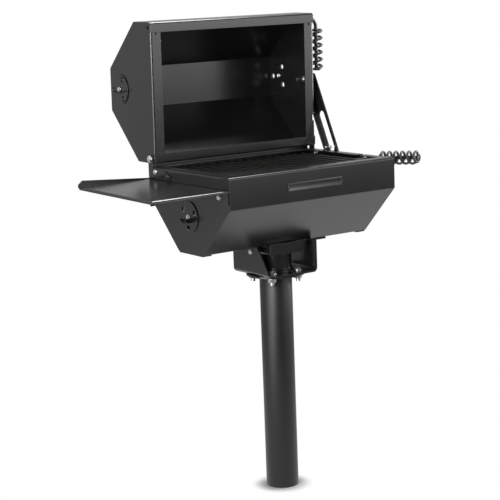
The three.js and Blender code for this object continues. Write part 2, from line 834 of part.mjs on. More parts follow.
// The middle line of a coil about +Z: helix turns whose two ends bend in and run square to the rod
function coilPoints(length) {
  const pitch = (length - wireDiameter) / coilTurns;
  const helix = [];
  const count = Math.round(coilTurns * coilSteps);
  for (let index = 0; index <= count; index += 1) {
    const turn = (2 * Math.PI * index) / coilSteps;
    helix.push(
      new THREE.Vector3(
        coilRadius * Math.cos(turn),
        coilRadius * Math.sin(turn),
        wireDiameter / 2 + (pitch * index) / coilSteps,
      ),
    );
  }
  const foot = rodDiameter / 2 + seatGap;
  const bend = coilRadius - foot - wireDiameter;
  const inward = (point, direction) => {
    const along = new THREE.Vector3(-point.y, point.x, 0).normalize().multiplyScalar(direction * bend);
    const ends = [bend * coilEndDipShare, bend, bend + wireDiameter].map((depth, index) => {
      const share = (coilRadius - depth) / coilRadius;
      const past = along.clone().multiplyScalar(index === 0 ? coilEndRunShare : 1);
      return new THREE.Vector3(point.x * share + past.x, point.y * share + past.y, point.z);
    });
    return ends;
  };
  const first = inward(helix[0], -1).reverse();
  const final = inward(helix[helix.length - 1], 1);
  return [...first, ...helix, ...final];
}

// The least gap between stretches of a coil's wire that lie more than half a turn apart
function leastGap(points) {
  let least = Infinity;
  for (let a = 0; a < points.length; a += 1) {
    for (let b = a + coilSteps / 2; b < points.length; b += 1) {
      least = Math.min(least, points[a].distanceTo(points[b]) - wireDiameter);
    }
  }
  return least;
}

function addCoil(group, name, length, start, direction) {
  const points = coilPoints(length);
  console.log(`${name}: least gap to itself ${leastGap(points).toFixed(2)} mm`);
  const mesh = piece(group, name, tubeAlong(points, wireDiameter / 2, coilSides), wirePaint);
  mesh.quaternion.setFromUnitVectors(new THREE.Vector3(0, 0, 1), direction);
  mesh.position.copy(start);
}

// The grate's handle: a bent rod through the right end's slot, with a coil grip
const splay = THREE.MathUtils.degToRad(grateHandleSplay);
const lift = THREE.MathUtils.degToRad(grateHandleLift);
const grateGrip = new THREE.Vector3(
  Math.sin(splay) * Math.cos(lift),
  -Math.cos(splay) * Math.cos(lift),
  Math.sin(lift),
);
const grateCorner = new THREE.Vector3(halfLength + handleStandoff, grateHandleY, barLevel);
const grateCoilFrom = rodBend;
const grateRodEnd = grateCorner.clone().addScaledVector(grateGrip, grateCoilFrom + grateCoilLength);
piece(
  head,
  "grate_handle_rod",
  rodShape([
    new THREE.Vector3(lastBar + barDiameter / 2 + seatGap, grateHandleY, barLevel),
    grateCorner,
    grateRodEnd,
  ]),
  barSteel,
);
addCoil(
  head,
  "grate_coil",
  grateCoilLength,
  grateCorner.clone().addScaledVector(grateGrip, grateCoilFrom),
  grateGrip,
);

// The hinge plates, bolted outside the end panels, and the pins that carry the lid
const plateRear = halfDepth - seatGap - sheet / 2;
const hingePlateTop = rimLevel - sheet;
const hingePlateBottom = rimLevel - shelfDrop + shelfRearLipNear + runClearance;
const plateFronts = new Map([
  [-1, plateRear - hingePlateLengthLeft],
  [1, plateRear - hingePlateLengthRight],
]);

function hingeBoltPlaces(side) {
  return [
    [plateRear - hingeBoltRear, hingePlateTop - hingeBoltFront],
    [plateFronts.get(side) + hingeBoltFront, hingePlateBottom + hingeBoltFront],
  ];
}

function hingePlate(side) {
  const plateFront = plateFronts.get(side);
  const xs = [side * (halfLength + seatGap), side * (halfLength + seatGap + sheet)].sort((a, b) => a - b);
  const leaf = [
    [plateRear, hingePlateBottom],
    [plateRear, hingeZ],
    [hingeY - hingeLobe, hingeZ],
    [hingeY - hingeLobe, hingePlateTop],
    [plateFront + hingePlateHeight, hingePlateBottom + hingePlateHeight],
    [plateFront, hingePlateBottom + hingePlateHeight / 2],
    [plateFront, hingePlateBottom],
  ];
  const lobe = rodAlong("x", [hingeY, hingeZ], ...xs, 2 * hingeLobe, holeSegments);
  const tools = [
    rodAlong("x", [hingeY, hingeZ], -halfLength - cutOver, halfLength + cutOver, pinHole, holeSegments),
    ...hingeBoltPlaces(side).map((place) =>
      rodAlong("x", place, -halfLength - cutOver, halfLength + cutOver, plateBoltHole, boltSegments),
    ),
  ];
  return cutAll(alongX(leaf, ...xs).add(lobe), tools);
}

const pinHole = hingePin.shank + 2 * runClearance;
const plateBoltHole = smallBolt.shank + 2 * runClearance;
for (const [name, side] of [
  ["left", -1],
  ["right", 1],
]) {
  piece(head, `hinge_plate_${name}`, hingePlate(side), paint);
  const grip = 2 * sheet + 3 * seatGap;
  const pin = piece(head, `hinge_pin_${name}`, boltShape(hingePin, grip), zinc);
  facing(pin, side, side * (halfLength + 2 * seatGap + sheet), hingeY, hingeZ);
}

// The strip behind the rear rim: it keeps rain out, and the open lid's rear wall comes to rest above it
piece(
  head,
  "lid_stop_strip",
  box(
    [seatGap - innerLength, halfDepth + runClearance, rimLevel - stopDrop],
    [innerLength - seatGap, halfDepth + runClearance + stopSheet, hingeZ - hingeInset - runClearance],
  ),
  paint,
);

// The slide pin for the support arm: an ear outside the right end, and a pin that stops at the arm
const slidePinY = halfDepth - slidePinInset;
const slidePinZ = rimLevel + slidePinRise;
const armInnerFace = halfLength + armStandoff;

function openPlace(across, up) {
  const a = across - hingeY;
  const b = up - hingeZ;
  return new THREE.Vector2(
    hingeY + a * Math.cos(openTurn) + b * Math.sin(openTurn),
    hingeZ - a * Math.sin(openTurn) + b * Math.cos(openTurn),
  );
}

const armPivotY = -halfDepth + armPivotInset;
const armPivotZ = mouthLevel + armPivotRise;
const pivotOpen = openPlace(armPivotY, armPivotZ);
const pinPlace = new THREE.Vector2(slidePinY, slidePinZ);
const armReach = pivotOpen.distanceTo(pinPlace);
const armLine = pinPlace.clone().sub(pivotOpen).normalize();
const armLean = Math.atan2(-armLine.x, -armLine.y); // from hanging straight down, towards the front
const earFoot = pinPlace.clone().addScaledVector(armLine, pinEarDrop);
const earFace = halfLength + seatGap;
const earSide = new THREE.Vector2(-armLine.y, armLine.x).multiplyScalar(pinEarWidth / 2);
const ear = joined([
  rodAlong("x", [slidePinY, slidePinZ], earFace, earFace + pinEarPlate, pinEarWidth, holeSegments),
  rodAlong("x", [earFoot.x, earFoot.y], earFace, earFace + pinEarPlate, pinEarWidth, holeSegments),
  alongX(
    [
      [slidePinY - earSide.x, slidePinZ - earSide.y],
      [earFoot.x - earSide.x, earFoot.y - earSide.y],
      [earFoot.x + earSide.x, earFoot.y + earSide.y],
      [slidePinY + earSide.x, slidePinZ + earSide.y],
    ],
    earFace,
    earFace + pinEarPlate,
  ),
]);
const earHole = rodAlong(
  "x",
  [slidePinY, slidePinZ],
  halfLength - cutOver,
  halfLength + cutOver,
  slidePinDiameter + 2 * seatGap,
);
piece(head, "arm_pin_ear", ear.subtract(earHole), paint);
piece(
  head,
  "arm_slide_pin",
  joined([
    rodAlong("x", [slidePinY, slidePinZ], halfLength - slidePinHead, armInnerFace - runClearance, slidePinDiameter),
    rodAlong(
      "x",
      [slidePinY, slidePinZ],
      earFace + pinEarPlate + seatGap,
      earFace + pinEarPlate + seatGap + slidePinHead,
      slidePinDiameter + slidePinHead,
    ),
  ]),
  zinc,
);

// The side shelf: a tray of sheet bolted to the left end, its lips growing towards its outer edge.
// Beside the wall it is folded down, so its flat face ends before the hinge plate above it
const shelfUnder = shelfTop - shelfSheet;
const shelfInnerX = -halfLength - seatGap;
const rearOuterX = shelfInnerX - shelfReachRear;
const frontOuterX = shelfInnerX - shelfReachFront;
const shelfHalf = halfDepth - seatGap;

function shelfShape() {
  const flatEnd = shelfInnerX - foldRadius;
  const top = alongZ(
    [
      [flatEnd, -shelfHalf],
      [flatEnd, shelfHalf],
      [rearOuterX, shelfHalf],
      [frontOuterX, -shelfHalf],
    ],
    shelfUnder,
    shelfTop,
  );
  const frontLip = alongY(
    [
      [shelfInnerX, shelfTop],
      [frontOuterX, shelfTop],
      [frontOuterX, shelfTop - shelfFrontLipFar],
      [shelfInnerX, shelfTop - shelfFrontLipNear],
    ],
    -shelfHalf,
    -shelfHalf + shelfSheet,
  );
  const rearLip = alongY(
    [
      [shelfInnerX, shelfUnder],
      [shelfInnerX, shelfTop + shelfRearLipNear],
      [rearOuterX + shelfRearLipClip, shelfTop + shelfRearLipFar],
      [rearOuterX - shelfSheet, shelfTop + shelfRearLipFar - shelfRearLipClip],
      [rearOuterX - shelfSheet, shelfUnder],
    ],
    shelfHalf - shelfSheet,
    shelfHalf,
  );
  const edge = new THREE.Vector2(frontOuterX - rearOuterX, -2 * shelfHalf).normalize();
  const inward = new THREE.Vector2(-edge.y, edge.x).multiplyScalar(shelfSheet);
  const outerLip = alongZ(
    [
      [rearOuterX, shelfHalf],
      [frontOuterX, -shelfHalf],
      [frontOuterX + inward.x, -shelfHalf],
      [rearOuterX + inward.x, shelfHalf],
    ],
    shelfTop - shelfOuterLip,
    shelfTop,
  );
  const wallBend = [
    [shelfInnerX, shelfTop - shelfWallFlange],
    [shelfInnerX, shelfTop],
    [shelfInnerX - shelfWallFlange, shelfTop],
  ];
  const wallFlange = alongY(
    foldedSheet(wallBend, shelfSheet, foldRadius),
    -shelfHalf + shelfSheet,
    shelfHalf - shelfSheet,
  );
  return joined([top, frontLip, rearLip, outerLip, wallFlange]);
}

const shelfBoltZ = shelfTop - shelfBoltDrop;
const shelfBoltY = shelfHalf - shelfBoltInset;
const shelfBoltPlaces = [
  [-shelfBoltY, shelfBoltZ],
  [shelfBoltY, shelfBoltZ],
];
const shelfBoltTools = shelfBoltPlaces.map((place) =>
  rodAlong("x", place, -halfLength - cutOver, -halfLength + cutOver, plateBoltHole, boltSegments),
);
piece(head, "side_shelf", cutAll(shelfShape(), shelfBoltTools), paint);

// Plate and shelf bolts go through both sheets, so the end panels get the same holes
const endBolts = new Map([
  [-1, [...hingeBoltPlaces(-1), ...shelfBoltPlaces]],
  [1, hingeBoltPlaces(1)],
]);
for (const [side, places] of endBolts) {
  const name = side < 0 ? "firebox_end_left" : "firebox_end_right";
  const panel = head.getObjectByName(name);
  const tools = places.map((place) =>
    rodAlong("x", place, ...throughPanel(side), plateBoltHole, boltSegments),
  );
  panel.geometry = geometryOf(cutAll(solid(panel.geometry), tools));
  places.forEach((place, index) => {
    const onPlate = index < hingeBoltPlaces(side).length;
    const word = onPlate ? "hinge_bolt" : "shelf_bolt";
    const number = onPlate ? index + 1 : index + 1 - hingeBoltPlaces(side).length;
    const mesh = piece(
      head,
      `${word}_${side < 0 ? "left" : "right"}_${number}`,
      boltShape(smallBolt, 2 * sheet + 3 * seatGap),
      zinc,
    );
    facing(mesh, side, side * (halfLength + 2 * seatGap + sheet), place[0], place[1]);
  });
}

// A damper: a disc with three vents and a tab bent outward, on one bolt
function damperShape() {
  const disc = rodAlong("z", [0, 0], 0, damperSheet, damperDiameter, roundSegments);
  const tools = [
    rodAlong("z", [0, 0], -cutOver, cutOver, smallBolt.shank + 2 * runClearance, boltSegments),
  ];
  for (let index = 0; index < damperHoles; index += 1) {
    const turn = THREE.MathUtils.degToRad((360 * index) / damperHoles);
    const centre = [damperHoleCircle * Math.cos(turn), damperHoleCircle * Math.sin(turn)];
    tools.push(rodAlong("z", centre, -cutOver, cutOver, damperHoleDiameter));
  }
  const root = damperSheet * Math.tan(THREE.MathUtils.degToRad(damperTabLean));
  const tab = box([-damperTabWidth, -damperSheet, root], [0, 0, damperTabLength])
    .rotate([damperTabLean, 0, 0])
    .translate([0, damperTabRise, 0]);
  return cutAll(disc.add(tab), tools);
}

function addDamper(group, name, side, centreY, centreZ, holeTurn) {
  const disc = piece(group, `damper_${name}`, damperShape(), paint);
  const face = side * (halfLength + runClearance);
  disc.quaternion.setFromRotationMatrix(
    new THREE.Matrix4().makeBasis(
      new THREE.Vector3(0, 1, 0),
      new THREE.Vector3(0, 0, side),
      new THREE.Vector3(side, 0, 0),
    ),
  );
  const turn = THREE.MathUtils.degToRad(side * holeTurn);
  disc.quaternion.multiply(new THREE.Quaternion().setFromAxisAngle(new THREE.Vector3(0, 0, 1), turn));
  disc.position.set(face, centreY, centreZ);
  const grip = damperSheet + sheet + 2 * runClearance + seatGap;
  const bolt = piece(group, `damper_bolt_${name}`, boltShape(smallBolt, grip), zinc);
  facing(bolt, side, side * (halfLength + 2 * runClearance + damperSheet), centreY, centreZ);
}

addDamper(head, "firebox_left", -1, 0, damperZ, damperHoleTurn);
addDamper(head, "firebox_right", 1, 0, damperZ, damperHoleTurn);

// The lid's own frame: drawn closed, then swung open about the hinge
const lidTurn = new THREE.Group();
lidTurn.position.set(0, hingeY, hingeZ);
lidTurn.rotation.x = -openTurn;
head.add(lidTurn);
const lid = new THREE.Group();
lid.position.set(0, -hingeY, -hingeZ);
lidTurn.add(lid);

piece(lid, "lid_shell", foldedShell(lidPath, lidMouthSide), paint);

const pinNotch = box(
  [innerLength - cutOver, slidePinY - pinNotchWidth / 2, mouthLevel - cutOver],
  [halfLength + cutOver, slidePinY + pinNotchWidth / 2, mouthLevel + pinNotchHeight],
);
const armPivotHole = rodAlong(
  "x",
  [armPivotY, armPivotZ],
  innerLength - cutOver,
  halfLength + cutOver,
  armBoltDiameter + 2 * seatGap,
);
const spareHole = rodAlong(
  "x",
  [-halfDepth + spareHoleInset, mouthLevel + spareHoleRise],
  ...throughPanel(-1),
  spareHoleDiameter,
);
const lidDamperPlace = [-lidDamperForward, lidTop - lidDamperDrop];
for (const [name, side, ownTools] of [
  ["left", -1, [spareHole]],
  ["right", 1, [pinNotch, armPivotHole]],
]) {
  const cornerHoleY = halfDepth - lidMouthSide - seatGap - cornerHoleEdge - cornerHoleDiameter / 2;
  const cornerHoles = [-cornerHoleY, cornerHoleY].map((y) =>
    rodAlong(
      "z",
      [side * (halfLength - cornerHoleInset), y],
      mouthLevel - cutOver,
      mouthLevel + cutOver,
      cornerHoleDiameter,
      boltSegments,
    ),
  );
  const tools = [
    ...ventTools(...lidDamperPlace, side, lidDamperHoleTurn),
    rodAlong("x", [hingeY, hingeZ], ...throughPanel(side), pinHole),
    ...cornerHoles,
    ...ownTools,
  ];
  piece(lid, `lid_end_${name}`, cutAll(endPanel(lidPath, side, lidMouthSide, lidMouthEnd), tools), paint);
  addDamper(lid, `lid_${name}`, side, ...lidDamperPlace, lidDamperHoleTurn);
}

// The lid's handle: a rod that leaves the right end near its front corner, with a coil grip
const lidRodY = -halfDepth + lidHandleInset;
const lidRodZ = mouthLevel + lidHandleRise;
const lidGripX = halfLength + handleStandoff;
const lidCoilY = lidRodY + lidCoilStart;
piece(
  lid,
  "lid_handle_rod",
  rodShape([
    new THREE.Vector3(halfLength + seatGap, lidRodY, lidRodZ),
    new THREE.Vector3(lidGripX, lidRodY, lidRodZ),
    new THREE.Vector3(lidGripX, lidCoilY + lidCoilLength, lidRodZ),
  ]),
  barSteel,
);
addCoil(
  lid,
  "lid_coil",
  lidCoilLength,
  new THREE.Vector3(lidGripX, lidCoilY, lidRodZ),
  new THREE.Vector3(0, 1, 0),
);

// The support arm: a slotted bar with one edge turned in, hung on a spacer outside the lid
const armBolt = joined([
  rodAlong(
    "x",
    [armPivotY, armPivotZ],
    innerLength - armBoltInside,
    armInnerFace + armPlate + seatGap + smallBolt.head,
    armBoltDiameter,
  ),
  rodAlong(
    "x",
    [armPivotY, armPivotZ],
    halfLength + seatGap,
    armInnerFace - seatGap,
    armSpacerDiameter,
  ),
  rodAlong(
    "x",
    [armPivotY, armPivotZ],
    armInnerFace + armPlate + seatGap,
    armInnerFace + armPlate + seatGap + smallBolt.head,
    armBoltHeadCorners,
    6,
  ),
  rodAlong(
    "x",
    [armPivotY, armPivotZ],
    innerLength - seatGap - smallBolt.nut,
    innerLength - seatGap,
    armNutCorners,
    6,
  ),
]);
piece(lid, "arm_pivot_bolt", armBolt, zinc);

const arm = new THREE.Group();
arm.position.set(0, armPivotY, armPivotZ);
arm.rotation.x = openTurn - armLean;
lid.add(arm);
const armHalf = armWidth / 2;
const armFlangeFace = halfLength + 2 * seatGap + sheet + smallBolt.head + runClearance; // clears the bolts
const slotBottom = -armReach - armSlotEnd;
const armEnd = slotBottom - armFoot;
const closedReach = Math.hypot(slidePinY - armPivotY, slidePinZ - armPivotZ);
const slotTop = -closedReach + armSlotEnd;
const armOuterFace = armInnerFace + armPlate;
const armOutline = withArcs(
  [
    [-armHalf, armHead],
    [-armHalf, armEnd],
    [armHalf, armEnd],
    [armHalf, armHead],
  ],
  armHead,
  true,
);
const slotHalfWidth = armSlotWidth / 2;
const armShape = cutAll(
  joined([
    alongX(armOutline, armInnerFace, armOuterFace),
    box(
      [armFlangeFace, armHalf - armPlate, armEnd + armHead],
      [armInnerFace + armPlate / 2, armHalf, -armHead],
    ),
  ]),
  [
    box(
      [armInnerFace - cutOver, -slotHalfWidth, slotBottom + slotHalfWidth],
      [armOuterFace + cutOver, slotHalfWidth, slotTop - slotHalfWidth],
    ),
    rodAlong("x", [0, slotBottom + slotHalfWidth], armInnerFace - cutOver, armOuterFace + cutOver, armSlotWidth),
    rodAlong("x", [0, slotTop - slotHalfWidth], armInnerFace - cutOver, armOuterFace + cutOver, armSlotWidth),
    rodAlong("x", [0, 0], armInnerFace - cutOver, armOuterFace + cutOver, armBoltDiameter + 2 * runClearance),
  ],
);
piece(arm, "support_arm", armShape, paint);

export default grill;
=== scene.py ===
import json
from math import cos, pi, radians, sin, sqrt, tan

import bpy
from mathutils import Matrix, Vector


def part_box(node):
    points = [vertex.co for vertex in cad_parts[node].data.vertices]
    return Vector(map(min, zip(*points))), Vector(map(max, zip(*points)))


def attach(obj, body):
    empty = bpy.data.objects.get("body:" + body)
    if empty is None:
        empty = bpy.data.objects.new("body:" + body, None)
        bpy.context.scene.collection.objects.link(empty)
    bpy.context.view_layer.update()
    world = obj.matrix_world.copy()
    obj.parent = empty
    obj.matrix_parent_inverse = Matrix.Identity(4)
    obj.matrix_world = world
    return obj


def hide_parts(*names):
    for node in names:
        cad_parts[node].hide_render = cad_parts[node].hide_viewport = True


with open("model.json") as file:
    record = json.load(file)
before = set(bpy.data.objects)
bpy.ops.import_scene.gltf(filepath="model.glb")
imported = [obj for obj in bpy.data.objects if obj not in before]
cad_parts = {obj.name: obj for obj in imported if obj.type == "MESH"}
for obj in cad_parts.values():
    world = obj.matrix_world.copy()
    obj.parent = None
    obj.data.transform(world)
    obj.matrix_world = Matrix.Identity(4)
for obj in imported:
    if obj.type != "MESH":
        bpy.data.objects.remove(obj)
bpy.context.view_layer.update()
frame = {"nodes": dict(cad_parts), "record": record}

# The camera: a long lens in front of the grill and to its left, a little above the open lid, leaning
# by two degrees as the photograph does
CAMERA_AIM = Vector((-0.0822, 0, 0.6708))
CAMERA_DISTANCE = 4.182
CAMERA_AZIMUTH = radians(-35.28)
CAMERA_ELEVATION = radians(10.18)
CAMERA_LEAN = radians(-2.12)
CAMERA_SENSOR = 36  # millimetres, as is the lens
CAMERA_LENS = 112.24
CAMERA_REACH = 100
camera_data = bpy.data.cameras.new("camera")
camera_data.sensor_width = CAMERA_SENSOR
camera_data.lens = CAMERA_LENS
camera_data.clip_end = CAMERA_REACH
camera = bpy.data.objects.new("camera", camera_data)
bpy.context.scene.collection.objects.link(camera)
camera.matrix_world = (
    Matrix.Translation(CAMERA_AIM)
    @ Matrix.Rotation(CAMERA_AZIMUTH, 4, "Z")
    @ Matrix.Rotation(pi / 2 - CAMERA_ELEVATION, 4, "X")
    @ Matrix.Rotation(CAMERA_LEAN, 4, "Z")
    @ Matrix.Translation((0, 0, CAMERA_DISTANCE))
)
bpy.context.scene.camera = camera
bpy.context.scene.view_settings.view_transform = "Standard"


# The studio: a wide sheet of white paper under the grill, white air behind it and seven soft lamps.
# The coat mirrors the paper, darker far off and in front than near and behind. Only a ring round the
# post's foot is left to the lamps, so that it keeps the shadow, and there the paper is grey: painted
# shade that darkens the ring
FLOOR_SIZE = 14
FLOOR_DROP = 0.0005  # under the post's foot
# Grey, not white: painted shade in the ring round the foot, under its real shadow
FLOOR_PAPER = (0.3, 0.3, 0.3, 1)
WHITE = (1, 1, 1, 1)
# Each pair is a place and the light's share there. The ring and the first glow go by the distance from
# the foot, the second glow by Y, and the air by its direction's Y
RING_INSIDE, RING_OUTSIDE = (0.044, 0), (0.09, 1)
GLOW_NEAR, GLOW_FAR = (0.9, 1), (2.2, 0.48)
GLOW_FRONT, GLOW_BACK = (-2.4, 0.28), (-0.3, 1)
AIR_FRONT, AIR_BACK = (-0.35, 0.16), (0.55, 0.58)


def new_material(name):
    """An empty node material, its nodes, its links and its output."""
    material = bpy.data.materials.new(name)
    material.use_nodes = True
    material.node_tree.nodes.clear()
    output = material.node_tree.nodes.new("ShaderNodeOutputMaterial")
    return material, material.node_tree.nodes, material.node_tree.links, output


def ramp(nodes, links, value, start, end, blend="SMOOTHSTEP"):
    """A change from one (value, result) pair to another."""
    step = nodes.new("ShaderNodeMapRange")
    step.interpolation_type = blend
    step.inputs["From Min"].default_value, step.inputs["To Min"].default_value = start
    step.inputs["From Max"].default_value, step.inputs["To Max"].default_value = end
    links.new(value, step.inputs["Value"])
    return step.outputs["Result"]


def combined(nodes, links, operation, first, second):
    """One number made from two."""
    step = nodes.new("ShaderNodeMath")
    step.operation = operation
    links.new(first, step.inputs[0])
    links.new(second, step.inputs[1])
    return step.outputs["Value"]


def pale_floor():
    """Paper that is white to the camera and in mirrors, and grey paper close to the post's foot as painted
    shade.
    """
    material, nodes, links, output = new_material("studio_paper")
    paper = nodes.new("ShaderNodeBsdfDiffuse")
    paper.inputs["Color"].default_value = FLOOR_PAPER
    white = nodes.new("ShaderNodeEmission")
    white.inputs["Color"].default_value = WHITE
    place = nodes.new("ShaderNodeTexCoord").outputs["Object"]
    reach = nodes.new("ShaderNodeVectorMath")
    reach.operation = "LENGTH"
    links.new(place, reach.inputs[0])
    axes = nodes.new("ShaderNodeSeparateXYZ")
    links.new(place, axes.inputs["Vector"])
    open_paper = ramp(nodes, links, reach.outputs["Value"], RING_INSIDE, RING_OUTSIDE)
    near = ramp(nodes, links, reach.outputs["Value"], GLOW_NEAR, GLOW_FAR)
    towards_back = ramp(nodes, links, axes.outputs["Y"], GLOW_FRONT, GLOW_BACK)
    rays = nodes.new("ShaderNodeLightPath")
    mirrored = combined(nodes, links, "MULTIPLY", near, towards_back)
    strength = combined(nodes, links, "MAXIMUM", mirrored, rays.outputs["Is Camera Ray"])
    links.new(strength, white.inputs["Strength"])
    seen = combined(nodes, links, "MULTIPLY", rays.outputs["Is Camera Ray"], open_paper)
    either = combined(nodes, links, "MAXIMUM", seen, rays.outputs["Is Glossy Ray"])
    mix = nodes.new("ShaderNodeMixShader")
    links.new(either, mix.inputs["Fac"])
    links.new(paper.outputs["BSDF"], mix.inputs[1])
    links.new(white.outputs["Emission"], mix.inputs[2])
    links.new(mix.outputs["Shader"], output.inputs["Surface"])
    return material


bpy.ops.mesh.primitive_plane_add(size=FLOOR_SIZE, location=(0, 0, -FLOOR_DROP))
floor = bpy.context.object
floor.name = "studio_floor"
floor.data.materials.append(pale_floor())

world = bpy.data.worlds.new("studio_air")
bpy.context.scene.world = world
world.use_nodes = True
world_nodes, world_links = world.node_tree.nodes, world.node_tree.links
world_nodes.clear()
air = world_nodes.new("ShaderNodeBackground")
air.inputs["Color"].default_value = WHITE
direction = world_nodes.new("ShaderNodeTexCoord")
air_axes = world_nodes.new("ShaderNodeSeparateXYZ")
world_links.new(direction.outputs["Generated"], air_axes.inputs["Vector"])
air_strength = ramp(world_nodes, world_links, air_axes.outputs["Y"], AIR_FRONT, AIR_BACK, "LINEAR")
world_links.new(air_strength, air.inputs["Strength"])
backdrop = world_nodes.new("ShaderNodeBackground")
backdrop.inputs["Color"].default_value = WHITE
backdrop.inputs["Strength"].default_value = 1
world_rays = world_nodes.new("ShaderNodeLightPath")
world_mix = world_nodes.new("ShaderNodeMixShader")
world_out = world_nodes.new("ShaderNodeOutputWorld")
world_links.new(world_rays.outputs["Is Camera Ray"], world_mix.inputs["Fac"])
world_links.new(air.outputs["Background"], world_mix.inputs[1])
world_links.new(backdrop.outputs["Background"], world_mix.inputs[2])
world_links.new(world_mix.outputs["Shader"], world_out.inputs["Surface"])


def soft_lamp(name, place, aim, size, power):
    """A rectangular lamp that stands at a place and faces its aim."""
    lamp = bpy.data.lights.new(name, "AREA")
    lamp.shape = "RECTANGLE"
    lamp.size, lamp.size_y = size
    lamp.energy = power
    holder = bpy.data.objects.new(name, lamp)
    bpy.context.scene.collection.objects.link(holder)
    holder.location = place
    holder.rotation_mode = "QUATERNION"
    holder.rotation_quaternion = (Vector(aim) - Vector(place)).to_track_quat("-Z", "Y")


# High on the left, for the left ends and the shelf
soft_lamp("key_lamp", (-3.2, -1.8, 2.9), (0, 0, 0.9), (1.8, 1.8), 40)
# Low on the left, mirrored as the post's long highlight
soft_lamp("side_lamp", (-2.0, -0.4, 0.8), (0, 0, 0.5), (1.5, 1.6), 30)
# In front on the right, mirrored by the lid's inside and its mouth flanges
soft_lamp("fill_lamp", (1.79, -2.68, 1.5), (0, 0, 1.2), (2.2, 1.5), 27)
# Lower on the same side, for the firebox's front wall
soft_lamp("low_lamp", (1.0, -2.92, 0.8), (0, 0, 0.8), (0.9, 0.5), 1.1)
# On the right, for the edges that face there
soft_lamp("edge_lamp", (2.4, -0.6, 1.5), (0, 0, 1.0), (0.8, 1.3), 80)
# Nearer on the left and at the lid's height, for the bends that face there
soft_lamp("bend_lamp", (-2.2, -1.2, 1.6), (0, 0, 1.2), (1.2, 1.2), 70)
# Above, for the bends that face up
soft_lamp("top_lamp", (1.18, 0.3, 3.6), (1.18, 0.3, 0), (0.85, 2.2), 110)


# The coat: satin black powder baked on the folded sheets, the swivel and the cradle. It has a fine
# orange-peel grain and a slow change of tone. Along its edges a painted highlight makes it a little
# brighter
COAT_GRAIN_SCALE = 900
COAT_GRAIN_DEPTH = 0.00003
COAT_TONE_SCALE = 7
COAT_TONE_DETAIL = 4
COAT_BUMP = 0.6
# The painted edge highlight: how far in from an edge it reaches, how strong it is, and its samples
EDGE_HIGHLIGHT_WIDTH = 0.0012
EDGE_HIGHLIGHT_STRENGTH = 3
EDGE_HIGHLIGHT_SAMPLES = 4
SPECKLE_SCALE = 130
SPECKLE_DETAIL = 3
# The Mix node's colour sockets share their names with its number sockets, so they go by their place
MIX_LOW, MIX_HIGH, MIX_RESULT = 6, 7, 2


def group_output(group, name):
    group.interface.new_socket(name=name, in_out="OUTPUT", socket_type="NodeSocketFloat")


def group_input(group, name, value):
    socket = group.interface.new_socket(name=name, in_out="INPUT", socket_type="NodeSocketFloat")
    socket.default_value = value


def surface_noise(nodes, links, detail=2):
    """A noise node over the object's own coordinates, whose scale is still to be given."""
    noise = nodes.new("ShaderNodeTexNoise")
    noise.inputs["Detail"].default_value = detail
    links.new(nodes.new("ShaderNodeTexCoord").outputs["Object"], noise.inputs["Vector"])
    return noise


def make_grain_group():
    """Fine height grain and a slow tone, both from the object's own coordinates."""
    group = bpy.data.node_groups.new("coat_grain", "ShaderNodeTree")
    group_input(group, "Grain Scale", COAT_GRAIN_SCALE)
    group_input(group, "Tone Scale", COAT_TONE_SCALE)
    group_output(group, "Height")
    group_output(group, "Tone")
    nodes, links = group.nodes, group.links
    entry = nodes.new("NodeGroupInput")
    leave = nodes.new("NodeGroupOutput")
    height = surface_noise(nodes, links)
    links.new(entry.outputs["Grain Scale"], height.inputs["Scale"])
    links.new(height.outputs["Fac"], leave.inputs["Height"])
    tone = surface_noise(nodes, links, COAT_TONE_DETAIL)
    links.new(entry.outputs["Tone Scale"], tone.inputs["Scale"])
    links.new(tone.outputs["Fac"], leave.inputs["Tone"])
    return group


def make_edge_group():
    """A painted highlight's mask that grows where the surface turns sharply, broken up by noise."""
    group = bpy.data.node_groups.new("painted_edge_highlight", "ShaderNodeTree")
    group_input(group, "Width", EDGE_HIGHLIGHT_WIDTH)
    group_input(group, "Strength", EDGE_HIGHLIGHT_STRENGTH)
    group_output(group, "Mask")
    nodes, links = group.nodes, group.links
    entry = nodes.new("NodeGroupInput")
    leave = nodes.new("NodeGroupOutput")
    round_off = nodes.new("ShaderNodeBevel")
    round_off.samples = EDGE_HIGHLIGHT_SAMPLES
    links.new(entry.outputs["Width"], round_off.inputs["Radius"])
    shape = nodes.new("ShaderNodeNewGeometry")
    same = nodes.new("ShaderNodeVectorMath")
    same.operation = "DOT_PRODUCT"
    links.new(round_off.outputs["Normal"], same.inputs[0])
    links.new(shape.outputs["Normal"], same.inputs[1])
    turned = nodes.new("ShaderNodeMath")
    turned.operation = "SUBTRACT"
    turned.inputs[0].default_value = 1
    links.new(same.outputs["Value"], turned.inputs[1])
    scaled = combined(nodes, links, "MULTIPLY", turned.outputs["Value"], entry.outputs["Strength"])
    speckle = surface_noise(nodes, links, SPECKLE_DETAIL)
    speckle.inputs["Scale"].default_value = SPECKLE_SCALE
    broken = combined(nodes, links, "MULTIPLY", scaled, speckle.outputs["Fac"])
    broken.node.use_clamp = True
    links.new(broken, leave.inputs["Mask"])
    return group


coat_grain = make_grain_group()
painted_edge_highlight = make_edge_group()


def add_group(nodes, group, **values):
    """Places a node group, with its inputs set by their names."""
    node = nodes.new("ShaderNodeGroup")
    node.node_tree = group
    for name, value in values.items():
        node.inputs[name.replace("_", " ")].default_value = value
    return node


def two_tones(nodes, links, factor, low, high):
    """A colour between two, by a mask."""
    mix = nodes.new("ShaderNodeMix")
    mix.data_type = "RGBA"
    mix.inputs[MIX_LOW].default_value = (*low, 1)
    mix.inputs[MIX_HIGH].default_value = (*high, 1)
    links.new(factor, mix.inputs["Factor"])
    return mix.outputs[MIX_RESULT]


def between(nodes, links, factor, low, high):
    """A number between two, by a mask."""
    return ramp(nodes, links, factor, (0, low), (1, high), "LINEAR")


